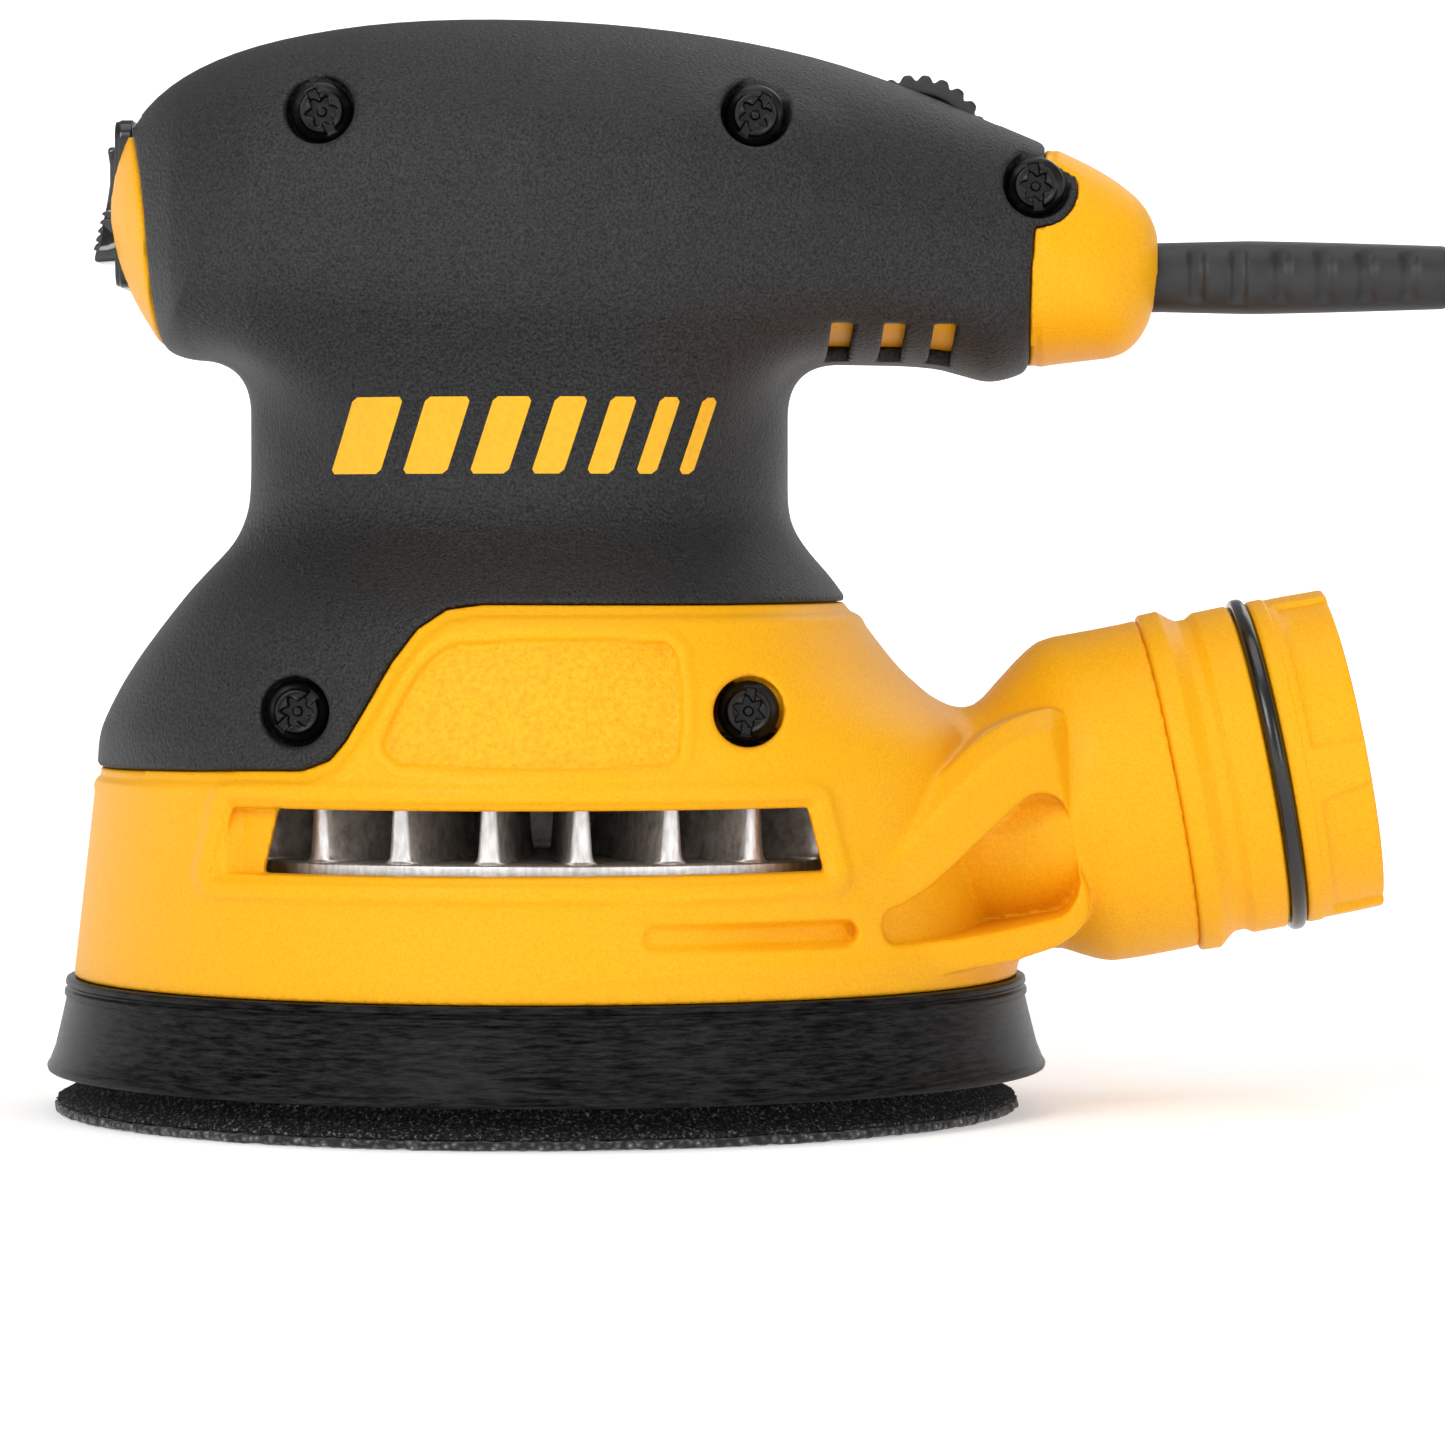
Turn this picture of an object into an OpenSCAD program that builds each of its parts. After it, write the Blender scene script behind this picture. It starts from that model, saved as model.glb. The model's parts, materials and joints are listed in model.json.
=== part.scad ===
// Random-orbit palm sander with a 125 mm pad.
// Millimetres. The origin is where the motor axis meets the pad's face.
// +X points to the cord and the dust outlet.

/* [Pad] */
// Diameter of the hook face
pad_d = 125; // [124:0.5:126]
// Distance from the motor axis to the pad axis
orbit_offset = 1.2; // [0.8:0.1:1.4]
// Diameter of the circle through the dust holes
dust_hole_pcd = 65; // [60:1:68]
// Radius of a dust hole
dust_hole_r = 4.5; // [3.5:0.5:5]
// Number of dust holes
dust_holes = 8; // [5, 6, 8]

/* [Housing] */
// Thickness of the plastic wall
wall = 2.5; // [2.2:0.1:2.6]
// Thickness of the soft grip skin
skin = 2; // [1.5:0.1:2.2]
// Height of the lower rim above the pad's face
rim_z = 17.5; // [17.3:0.1:17.7]
// Half-length of the exhaust window
window_half = 36; // [30:1:37]
// Height of the exhaust window
window_h = 8.2; // [6:0.2:8.4]

/* [Fan] */
// Radius of the fan
fan_r = 51; // [48:0.5:52]
// Number of cooling blades
fan_blades = 28; // [20:1:30]
// Thickness of a cooling blade
blade_t = 2.6; // [2:0.1:3]

/* [Dust outlet] */
// Upward tilt of the outlet
outlet_tilt = 11; // [10:0.5:12]
// Radius of the outlet tube
outlet_r = 21.2; // [21:0.1:21.4]
// Radius of the bore through the outlet
outlet_bore_r = 17; // [16:0.1:17.5]

/* [Controls] */
// Radius of the speed dial
dial_r = 9.5; // [9.2:0.1:9.6]

/* [Cord] */
// Diameter of the cord
cord_d = 7; // [6.5:0.1:7]
// Mean radius of the coil
coil_r = 42; // [40:0.5:43]
// Turns side by side in the coil
coil_columns = 4; // [4]
// Layers of turns in the coil
coil_layers = 2; // [2]

/* [Hidden] */
$fn = 64;
eps = 0.5;
big = 200;
yellow = "#f2a81d";
black = "#2a2a2b";
steel = "#b4b6b8";
copper = "#b4663a";

// Body, from the rim to the head: height against reach to the front, rear and side
front_reach = [
    [17, 61.3], [44.4, 58.1], [49, 58], [53.3, 55.9], [58.8, 52.6], [64.3, 48.4], [69, 44.5],
    [73.7, 40.2], [77, 38.7], [92.9, 38.4], [95.3, 39.7], [98, 42], [101, 42],
];
rear_reach = [
    [17, 61.3], [44.4, 58.1], [49, 55], [53.3, 50.5], [58.8, 44.5], [65.5, 39.3], [70.5, 35.4],
    [75.2, 32.2], [78, 31.4], [92, 31.6], [95.3, 35.8], [98, 42], [101, 42],
];
side_reach = [
    [17, 61.3], [44.4, 58.1], [58, 55], [65, 52.5], [68, 46], [72, 38], [76, 34.2], [80, 33],
    [92, 33], [96, 33.6], [101, 34.4],
];
body_levels = [rim_z, 31, 44.4, 49, 53.3, 58.8, 64.8, 68, 72, 76, 80, 92, 95.3, 98, 101];
hollow_levels = [rim_z - 0.5, 31, 44.4, 49, 53.3, 58.8, 64.8, 68, 72, 76, 80, 92, 104];
neck_top = 92;
body_top = 101;
body_facets = 32;

// Head, from nose to tail: distance along X, underside, top, half-width
head_stations = [
    [-57, 111, 119, 12], [-55.5, 107.5, 124, 20], [-53, 103.6, 128, 27], [-50, 99, 131.5, 32],
    [-46, 97.4, 134.5, 35.5], [-38, 97, 137.6, 39], [-22, 97, 140.3, 42], [0, 97, 141, 42],
    [18, 97, 139.8, 38.5], [34, 96.4, 136.8, 32.5], [46, 95.8, 132.6, 26], [58, 94.8, 127.9, 20.5],
    [68, 96.2, 123.6, 17], [74, 97.6, 120.6, 14.5], [77.6, 100.7, 117.6, 11.5], [80, 104, 113.5, 8],
];
head_facets = 24;
head_square = 2.4;
head_square_low = 3;
head_low = 0.38;
nose_x = -57;
tail_x = 80;

// Dust duct, from inside the body to the outlet: centre X, centre Z, tilt, half-height, half-width
duct_stations = [
    [34, 34, 0, 13.5, 22], [48, 34.8, 1, 16.6, 24], [56, 36, 4, 18, 23.4], [63, 38.1, 8, 20.4, 22.4],
    [70, 40, outlet_tilt, 21.6, 21.6],
];
duct_past_end = [71, 40.2, outlet_tilt, 21.6, 21.6];
duct_facets = 32;

// Where the soft skin ends on the side of the body
skin_edge = [
    [-70, 44.4], [-28.6, 45.3], [-24.3, 47], [-21.2, 51.7], [-13.9, 63.2], [-7.8, 65.6], [70, 65.6],
];
tail_seam_x = 63;
nose_seam_x = -49.2;
nose_seam_z = 129;

window_z = 32.6;
// Side screws: X, Z, depth of the head's face
side_screws = [[-29.5, 52.6, 44.8], [26.1, 52.6, 45], [-27, 127, 35], [27, 127, 29], [63, 119, 13]];
screw_r = 2;
screw_head_r = 3.85;
screw_head_h = 3;
screw_end_y = 13;
boss_r = 5;

outlet_x = 70;
outlet_z = 40;
o_ring_s = 24;
o_ring_cord_r = 1;
o_ring_seat_r = 19.8;

// Motor stack
lower_bearing_z = 48.2;
upper_bearing_z = 114;
core_z = 62;
core_h = 30;
brush_z = 105;
web_z = 114;
web_h = 5;

// Fan and pad drive
disc_z = 31.5;
disc_top = 34;
pad_bearing_z = 21.2;
pad_axis = [-orbit_offset, 0, 0];

rocker_at = [-51, 0, 117];
dial_at = [48, 0, 124.4];
dial_pin_r = 1.2;

cord_z = 107.8;
boot_r = 4.75;
coil_at = [209.5, 31, 0];
coil_inner = coil_r - coil_columns * cord_d / 2;
coil_outer = coil_r + coil_columns * cord_d / 2;
coil_top = coil_layers * cord_d;
lead_x = coil_at.x + coil_outer - cord_d / 2;
plug_x = 256;
plug_z = 6.5;
// Route of the cord from the tail to the coil; it hangs clear of a hose pushed onto the dust outlet
cord_route = [
    [57, 0, 107.8], [72, 0, 107.8], [90, 0, 107.8], [106, 0, 107.7], [117, 0, 107.4], [127.5, -0.8, 106.2],
    [136.5, -3.8, 103.2], [144, -9, 98.4], [149.6, -15.2, 91.8], [153, -20.6, 83.6], [154.8, -24.2, 74.4],
    [155.8, -26.3, 64.6], [156.4, -27, 54.6], [156.8, -26.4, 44.6], [157, -24, 34.8], [157, -19, 26],
    [157, -11.6, 18.9], [157, -2.6, 14], [157, 7.4, 11.4], [157, 19, 10.6], [157, 31, 10.5],
];
// Route of the cord from the coil to the plug
lead_route = [
    [lead_x, 31, 3.5], [lead_x, 23, 3.5], [260.6, 15, 3.9], [258.3, 6.5, 4.9], [256.5, -2, 6.1],
    [plug_x, -9, plug_z],
];

function rounded(v, n) = sign(v) * pow(abs(v), 2 / n);

// Ring of the body at height z, drawn in by t
function body_ring(z, t) = [
    for (i = [0 : body_facets - 1])
        let (a = i * 360 / body_facets, level = z > body_top ? neck_top : z)
            [
                cos(a) * (lookup(level, cos(a) > 0 ? rear_reach : front_reach) - t),
                sin(a) * (lookup(level, side_reach) - t),
                z,
            ]
];

// Ring of the head at station s, drawn in by t
function head_ring(s, t) =
    let (
        x = nose_x + t + (s[0] - nose_x) * (tail_x - nose_x - 2 * t) / (tail_x - nose_x),
        low = s[1] + t,
        high = s[2] - t,
        mid = low + head_low * (high - low)
    )
    [
        for (i = [0 : head_facets - 1])
            let (a = i * 360 / head_facets, square = sin(a) > 0 ? head_square : head_square_low)
                [
                    x,
                    rounded(cos(a), square) * (s[3] - t),
                    mid + rounded(sin(a), square) * (sin(a) > 0 ? high - mid : mid - low),
                ]
    ];

// Ring of the duct at station s, drawn in by t
function duct_ring(s, t) = [
    for (i = [0 : duct_facets - 1])
        let (a = i * 360 / duct_facets)
            [
                s[0] - sin(s[2]) * sin(a) * (s[3] - t),
                cos(a) * (s[4] - t),
                s[1] + cos(s[2]) * sin(a) * (s[3] - t),
            ]
];

function unit(v) = v / norm(v);

// Rings round a route, each square to the way the route runs there
function swept(route, r, sides) = [
    for (i = [0 : len(route) - 1])
        let (
            way = unit(route[min(i + 1, len(route) - 1)] - route[max(i - 1, 0)]),
            across = unit(cross([1, -1, 1], way)),
            up = cross(way, across)
        )
        [for (k = [0 : sides - 1]) route[i] + r * (cos(k * 360 / sides) * across + sin(k * 360 / sides) * up)]
];

// Closed solid through a stack of rings with the same number of points
module loft(rings) {
    n = len(rings[0]);
    m = len(rings);
    sides = [
        for (j = [0 : m - 2], i = [0 : n - 1])
            let (a = j * n + i, b = j * n + (i + 1) % n)
                each [[a, a + n, b + n], [a, b + n, b]]
    ];
    ends = [[for (i = [0 : n - 1]) i], [for (i = [n - 1 : -1 : 0]) (m - 1) * n + i]];
    polyhedron(points = [for (r = rings) each r], faces = concat(sides, ends), convexity = 8);
}

// Keeps a many-sided shell as one mesh
module as_mesh() resize([0, 0, 0]) children();

module ring(r_out, r_in, h) difference() {
    cylinder(r = r_out, h = h);
    translate([0, 0, -eps]) cylinder(r = r_in, h = h + 2 * eps);
}

module along_y(x, z) translate([x, 0, z]) rotate([-90, 0, 0]) children();

module round_pattern(count, r, turn = 0) for (i = [0 : count - 1])
    rotate([0, 0, turn + i * 360 / count]) translate([r, 0, 0]) children();

module body_form(t) loft([for (z = t > skin ? hollow_levels : body_levels) body_ring(z, t)]);

module head_form(t) loft([for (s = head_stations) head_ring(s, t)]);

// Drawn in, the duct runs on past its end, so that it cuts the end open
module duct_form(t) loft([
    for (s = duct_stations) duct_ring(s, t),
    if (t > 0) duct_ring(duct_past_end, t),
]);

module outer_form() {
    body_form(0);
    head_form(0);
    duct_form(0);
}

// Everything that stays bare plastic: below the skin's edge, the nose and the tail
module bare_zone() rotate([90, 0, 0]) linear_extrude(big, center = true) {
    polygon(concat([[160, 65.6], [160, 10], [-70, 10]], skin_edge));
    translate([tail_seam_x, 60]) square([60, 90]);
    translate([nose_seam_x - 30, 90]) square([30, nose_seam_z - 90]);
}

module windows() {
    for (side = [-1, 1])
        translate([-window_half - 2, side * 55 - 15, window_z]) cube([2 * window_half, 30, window_h]);
    translate([nose_x - 10, -9, 106]) cube([20, 18, 22]);
    translate([dial_at.x - 10.1, -3.6, 111]) cube([20.2, 7.2, 31]);
    translate([60, 0, cord_z]) rotate([0, 90, 0]) cylinder(r = 5.4, h = 30, $fn = 24);
    for (x = [37.8, 44.5, 50.9], side = [-1, 1])
        translate([x - 1.25, side * 22 - 14, 93]) cube([2.5, 28, 8.2]);
}

// Plastic inside one half: screw bosses, the web round the upper bearing, the post under the cord clamp
module inner_ribs() intersection() {
    union() {
        for (s = side_screws) along_y(s[0], s[1]) cylinder(r = boss_r, h = big, center = true, $fn = 24);
        translate([-28, -big / 2, web_z]) cube([56, big, web_h]);
        translate([57, -big / 2, 95]) cube([6, big, 9]);
    }
    union() {
        body_form(skin + 0.2);
        head_form(skin + 0.2);
    }
}

module screw_holes() for (s = side_screws) {
    along_y(s[0], s[1]) translate([0, 0, -80])
        cylinder(r = screw_r + 0.15, h = 80 + screw_end_y + eps, $fn = 24);
    along_y(s[0], s[1]) translate([0, 0, -s[2] - 40])
        cylinder(r = screw_head_r + 0.4, h = 40 + screw_head_h, $fn = 32);
}

module housing_shell() as_mesh() difference() {
    union() {
        difference() {
            union() {
                body_form(skin);
                head_form(skin);
                intersection() {
                    outer_form();
                    bare_zone();
                }
            }
            body_form(skin + wall);
            head_form(skin + wall);
            duct_form(wall);
        }
        inner_ribs();
    }
    windows();
    screw_holes();
    translate([0, 0, web_z - eps]) cylinder(r = 13.2, h = web_h + 2 * eps, $fn = 48);
    for (side = [-1, 1]) translate([60, side * 7.5, 95]) cylinder(r = 1.7, h = 12, $fn = 16);
}

module grip_skin() as_mesh() difference() {
    union() {
        body_form(0);
        head_form(0);
    }
    body_form(skin);
    head_form(skin);
    duct_form(0);
    bare_zone();
    windows();
    screw_holes();
}

// One side of the sander: -1 is the left half, +1 the right
module half(side) as_mesh() intersection() {
    children();
    translate([-big / 2, side < 0 ? -big : 0, 0]) cube([2 * big, big, big]);
}

module housing_left() color(yellow) half(-1) housing_shell();

module housing_right() color(yellow) half(1) housing_shell();

module grip_left() color(black) half(-1) grip_skin();

module grip_right() color(black) half(1) grip_skin();

module housing_screws() color("#202022") for (s = side_screws)
    along_y(s[0], s[1]) translate([0, 0, -s[2]]) difference() {
        union() {
            cylinder(r = screw_head_r, h = screw_head_h);
            cylinder(r = screw_r, h = s[2] + screw_end_y);
        }
        translate([0, 0, -eps]) cylinder(r = 2, h = 2, $fn = 6);
    }

// Places its children with +Z along the outlet, from the end of the duct
module outlet_frame() translate([outlet_x, 0, outlet_z]) rotate([0, 90 - outlet_tilt, 0]) children();

// Outline of the outlet's wall: radius against distance along the outlet
module outlet_outline() polygon([
    [outlet_bore_r, -3], [18.2, -3], [18.2, 0], [outlet_r + 0.4, 0], [outlet_r + 0.4, 11],
    [outlet_r + 1, 11.4], [outlet_r + 1, 14.2], [outlet_r - 0.7, 15.6], [outlet_r - 0.7, 17.2],
    [outlet_r, 18], [outlet_r, 22.8],
    [o_ring_seat_r, 22.8], [o_ring_seat_r, 25.2], [outlet_r - 0.2, 25.2], [outlet_r - 0.2, 35.5],
    [outlet_bore_r, 35.5],
]);

module dust_outlet() color(yellow) outlet_frame() {
    rotate_extrude() outlet_outline();
    for (side = [-1, 1]) translate([side * (outlet_r - 1.6) - 1.5, -4, 26]) cube([3, 8, 4]);
}

module outlet_o_ring() color("#151516") outlet_frame() translate([0, 0, o_ring_s])
    rotate_extrude() translate([o_ring_seat_r + o_ring_cord_r, 0]) circle(r = o_ring_cord_r);

module dust_skirt() color(black) rotate_extrude() polygon([
    [57, rim_z - 2.2], [57, rim_z], [62.2, rim_z], [62.6, rim_z - 2.4], [64.9, 5.9], [64.3, 5.3], [62.8, 5.6],
    [60.4, rim_z - 2.2],
]);

module bearing_flange() color("#a9abad") difference() {
    union() {
        translate([0, 0, 45.3]) cylinder(r = 50.7, h = 2.2);
        translate([0, 0, 45.3]) cylinder(r = 15.5, h = lower_bearing_z + 8 - 45.3);
    }
    translate([0, 0, lower_bearing_z]) cylinder(r = 13, h = 10);
    translate([0, 0, 40]) cylinder(r = 8, h = 20);
    translate([0, 0, 40]) round_pattern(8, 34) cylinder(r = 6.5, h = 10);
}

module upper_bearing_sleeve() color("#303032") translate([0, 0, upper_bearing_z - 0.5]) difference() {
    cylinder(r = 13, h = 9.5);
    translate([0, 0, -eps]) cylinder(r = 11, h = 7.5 + eps);
    translate([0, 0, -eps]) cylinder(r = 6, h = 8 + eps);
}

module bearing_race(at_z, r_out, r_in, h) color(steel) translate([0, 0, at_z]) ring(r_out, r_in, h);

module bearing_balls(at_z, count, at_r, r, h) color("#cfd2d4") translate([0, 0, at_z + h / 2])
    round_pattern(count, at_r) sphere(r = r);

module upper_bearing_outer() bearing_race(upper_bearing_z, 11, 9.3, 7);

module upper_bearing_balls() bearing_balls(upper_bearing_z, 7, 7.6, 1.65, 7);

module upper_bearing_inner() bearing_race(upper_bearing_z, 5.9, 4, 7);

module lower_bearing_outer() bearing_race(lower_bearing_z, 13, 11, 8);

module lower_bearing_balls() bearing_balls(lower_bearing_z, 7, 9, 1.95, 8);

module lower_bearing_inner() bearing_race(lower_bearing_z, 7, 5, 8);

module pad_bearing_outer() translate(pad_axis) bearing_race(pad_bearing_z, 14, 11.7, 8);

module pad_bearing_balls() translate(pad_axis) bearing_balls(pad_bearing_z, 8, 9.9, 1.75, 8);

module pad_bearing_inner() translate(pad_axis) bearing_race(pad_bearing_z, 8.1, 6, 8);

module pad_snap_ring() color("#3a3a3c") translate(pad_axis + [0, 0, pad_bearing_z - 1]) difference() {
    ring(14, 12.2, 1);
    translate([8, -2, -eps]) cube([10, 4, 3]);
}

module sector(r_out, r_in, h, angle) rotate([0, 0, -angle / 2])
    rotate_extrude(angle = angle) translate([r_in, 0]) square([r_out - r_in, h]);

module stator_core() color("#77797c") translate([0, 0, core_z]) {
    ring(25.5, 23, core_h);
    for (turn = [90, 270]) rotate([0, 0, turn]) sector(23.2, 15.1, core_h, 64);
}

module stator_windings() color(copper) for (turn = [90, 270]) rotate([0, 0, turn]) difference() {
    translate([0, 0, 57]) sector(22.8, 18.4, 40, 112);
    translate([0, 0, core_z]) sector(30, 15, core_h, 66);
}

module armature_core() color("#8b8d90") translate([0, 0, core_z]) difference() {
    cylinder(r = 14.7, h = core_h);
    translate([0, 0, -eps]) cylinder(r = 5, h = core_h + 1);
    translate([0, 0, -eps]) round_pattern(12, 13.6) cylinder(r = 1.3, h = core_h + 1, $fn = 24);
}

module armature_windings() color(copper) {
    translate([0, 0, 57.2]) ring(13.4, 5, core_z - 57.2);
    translate([0, 0, core_z + core_h]) ring(13.4, 5, 5.6);
}

module commutator() color("#c0703c") translate([0, 0, 99]) difference() {
    ring(9.5, 4, 12);
    translate([0, 0, 2]) for (i = [0 : 11])
        rotate([0, 0, i * 30 + 15]) translate([9, -0.3, 0]) cube([2, 0.6, 12]);
}

module motor_shaft() color(steel) {
    translate([0, 0, 31.2]) cylinder(r = 5, h = 67);
    translate([0, 0, 98]) cylinder(r = 4, h = 23);
}

module fan() color("#bcbfc2") difference() {
    union() {
        translate([0, 0, disc_z]) cylinder(r = fan_r, h = disc_top - disc_z);
        translate([0, 0, disc_z]) cylinder(r = 9, h = 44.5 - disc_z);
        translate([0, 0, disc_z]) round_pattern(fan_blades, 0, 360 / fan_blades / 2)
            translate([21, -blade_t / 2, 0]) cube([fan_r - 21.3, blade_t, 43.5 - disc_z]);
        translate(pad_axis) translate([0, 0, 20]) cylinder(r = 16.5, h = disc_z - 20);
        for (turn = [60 : 30 : 300]) rotate([0, 0, turn]) translate([16, -1.2, 22])
            cube([fan_r - 17, 2.4, disc_z - 22]);
    }
    translate(pad_axis) translate([0, 0, 19]) cylinder(r = 14, h = 11);
    translate([0, 0, 31.2]) cylinder(r = 5, h = 20);
}

module counterweight() color("#6f7174") translate([0, 0, 22.5]) difference() {
    sector(46, 20, disc_z - 22.5, 84);
    for (turn = [-25, 25]) rotate([0, 0, turn]) translate([33, 0, -eps]) cylinder(r = 2.5, h = 4);
}

module pad_hub() color(steel) translate(pad_axis) difference() {
    union() {
        translate([0, 0, 12.5]) cylinder(r = 18, h = 4.5);
        translate([0, 0, 12.5]) cylinder(r = 8, h = pad_bearing_z - 12.5);
        translate([0, 0, 12.5]) cylinder(r = 6, h = pad_bearing_z + 8 - 12.5);
    }
    translate([0, 0, 12]) round_pattern(4, 13, 45) cylinder(r = 2.25, h = 4.4);
}

module pad_screws() color("#8f9194") translate(pad_axis) round_pattern(4, 13, 45) {
    translate([0, 0, 9]) cylinder(r = 2.2, h = 7);
    difference() {
        translate([0, 0, 6.8]) cylinder(r = 4, h = 2.2);
        translate([0, 0, 6]) cylinder(r = 1.9, h = 2, $fn = 6);
    }
}

module pad_holes(screw_hole_r) translate([0, 0, -eps]) {
    round_pattern(dust_holes, dust_hole_pcd / 2, 22.5) cylinder(r = dust_hole_r, h = 20);
    round_pattern(4, 13, 45) cylinder(r = screw_hole_r, h = 20);
}

module pad_backing() color("#343436") translate(pad_axis) difference() {
    translate([0, 0, 9]) cylinder(r = 56, h = 3.5);
    pad_holes(2.25);
}

module pad_foam() color("#2d2d2e") translate(pad_axis) difference() {
    rotate_extrude() polygon([
        [0, 1.2], [pad_d / 2, 1.2], [pad_d / 2 - 1.3, 2.2], [59.4, 3.4], [58, 5], [57.4, 9], [0, 9],
    ]);
    pad_holes(5.2);
}

module pad_hook_face() color("#4a4a4b") translate(pad_axis) difference() {
    cylinder(r = pad_d / 2, h = 1.2);
    pad_holes(5.2);
}

module both_sides() for (turn = [0, 180]) rotate([0, 0, turn]) children();

module brush_holders() color("#b08a48") both_sides() translate([0, 0, brush_z]) difference() {
    translate([-4.4, 11.5, -5.2]) cube([8.8, 15.5, 10.4]);
    translate([-3.25, 10, -4.05]) cube([6.5, 16.5, 8.1]);
}

module carbon_brushes() color("#3b3b3d") both_sides()
    translate([-3.2, 9.6, brush_z - 4]) cube([6.4, 12.4, 8]);

module brush_springs() color(steel) both_sides()
    translate([0, 22, brush_z]) rotate([-90, 0, 0]) ring(2.8, 2, 4.5);

module switch_body() color("#252526") difference() {
    union() {
        translate([-48.6, -7.2, 108]) cube([16.6, 14.4, 17.3]);
        for (y = [-7.2, 6]) translate([-54, y, 113]) cube([6, 1.2, 8]);
        along_y(rocker_at.x, rocker_at.z) cylinder(r = 1.2, h = 13, center = true, $fn = 32);
    }
    translate([-33, -5, 110]) cube([2, 10, 5]);
}

module switch_rocker() color("#19191a") translate(rocker_at) rotate([90, 0, 0]) difference() {
    linear_extrude(11.6, center = true)
        polygon([[-5.5, 7.5], [-5.5, 0], [-7.3, -7.5], [-3, -7.2], [1, -3.5], [1, 3.5], [-3, 7.2]]);
    cylinder(r = 1.25, h = 20, center = true, $fn = 32);
}

module switch_boot() color("#1c1c1d") translate([-55.2, 0, rocker_at.z]) difference() {
    translate([0, -8.8, -10.8]) cube([2.2, 17.6, 21.6]);
    translate([-1, -7.4, -9.8]) cube([5, 14.8, 19.6]);
}

module speed_module() color("#2f5d3c") {
    translate([35, -10, 104.4]) cube([21, 20, 2]);
    for (y = [-6, 4.2]) translate([46, y, 106]) cube([4, 1.8, 18.9]);
    along_y(dial_at.x, dial_at.z) cylinder(r = dial_pin_r, h = 11, center = true);
}

module speed_dial() color("#1f1f20") along_y(dial_at.x, dial_at.z) difference() {
    cylinder(r = dial_r, h = 6, center = true);
    cylinder(r = dial_pin_r + 0.05, h = 10, center = true);
    round_pattern(24, dial_r) cylinder(r = 0.6, h = 10, center = true, $fn = 24);
}

module along_x(x) translate([x, 0, cord_z]) rotate([0, 90, 0]) children();

module cord_boot() color("#1d1d1e") difference() {
    union() {
        along_x(66) cylinder(r = 5.7, h = 3);
        along_x(69) cylinder(r1 = 4.5, r2 = boot_r, h = 22);
        along_x(91) cylinder(r1 = boot_r, r2 = 4.1, h = 26);
    }
    for (i = [0 : 5], side = [-1, 1])
        translate([84 + i * 5.5, side * (boot_r + 0.45), cord_z]) cube([2, 2, 5], center = true);
    along_x(60) cylinder(r = cord_d / 2, h = 60);
}

module cord_clamp() color("#29292a") difference() {
    translate([57, -10.5, cord_z + 0.4]) cube([6, 21, 4]);
    along_x(50) cylinder(r = cord_d / 2, h = 20);
    for (side = [-1, 1]) translate([60, side * 7.5, 100]) cylinder(r = 1.65, h = 20);
}

module clamp_screws() color(steel) for (side = [-1, 1]) translate([60, side * 7.5, 0]) {
    translate([0, 0, 99]) cylinder(r = 1.6, h = 14);
    translate([0, 0, cord_z + 4.4]) cylinder(r = 2.8, h = 1.5);
}

module power_cord() color("#1d1d1e") loft(swept(cord_route, cord_d / 2, 10));

module cord_coil() color("#1d1d1e") translate(coil_at) ring(coil_outer, coil_inner, coil_top);

module coil_tie() color("#101011") translate(coil_at) rotate([0, 0, 90]) difference() {
    sector(coil_outer + 1.2, coil_inner - 1.2, coil_top + 1.2, 16);
    translate([0, 0, -eps]) ring(coil_outer, coil_inner, coil_top + eps);
}

module plug_lead() color("#1d1d1e") loft(swept(lead_route, cord_d / 2, 10));

module plug_body() color("#1d1d1e") translate([plug_x, -9, plug_z]) rotate([90, 0, 0]) {
    cylinder(r1 = 4.2, r2 = 5.6, h = 16);
    translate([0, 0, 14]) linear_extrude(18) {
        translate([-8, -6.5]) square([16, 13]);
        for (side = [-1, 1]) translate([side * 8, 0]) circle(r = 4.5);
    }
}

module plug_blades() color("#c9b27a") for (side = [-1, 1])
    translate([plug_x + side * 6.35 - 0.75, -56, plug_z - 3.15]) difference() {
        cube([1.5, 15, 6.3]);
        translate([-1, 3.5, 3.15]) rotate([0, 90, 0]) cylinder(r = 1.5, h = 4);
    }

housing_left();
housing_right();
grip_left();
grip_right();
housing_screws();
dust_outlet();
outlet_o_ring();
dust_skirt();
bearing_flange();
upper_bearing_sleeve();
stator_core();
stator_windings();
armature_core();
armature_windings();
commutator();
motor_shaft();
fan();
counterweight();
upper_bearing_outer();
upper_bearing_balls();
upper_bearing_inner();
lower_bearing_outer();
lower_bearing_balls();
lower_bearing_inner();
pad_bearing_outer();
pad_bearing_balls();
pad_bearing_inner();
pad_snap_ring();
pad_hub();
pad_screws();
pad_backing();
pad_foam();
pad_hook_face();
brush_holders();
carbon_brushes();
brush_springs();
switch_body();
switch_rocker();
switch_boot();
speed_module();
speed_dial();
cord_boot();
cord_clamp();
clamp_screws();
power_cord();
cord_coil();
coil_tie();
plug_lead();
plug_body();
plug_blades();
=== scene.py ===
import json
import math

import bmesh
import bpy
import numpy as np
import openvdb
from mathutils import Matrix, Vector
from mathutils.bvhtree import BVHTree


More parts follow.
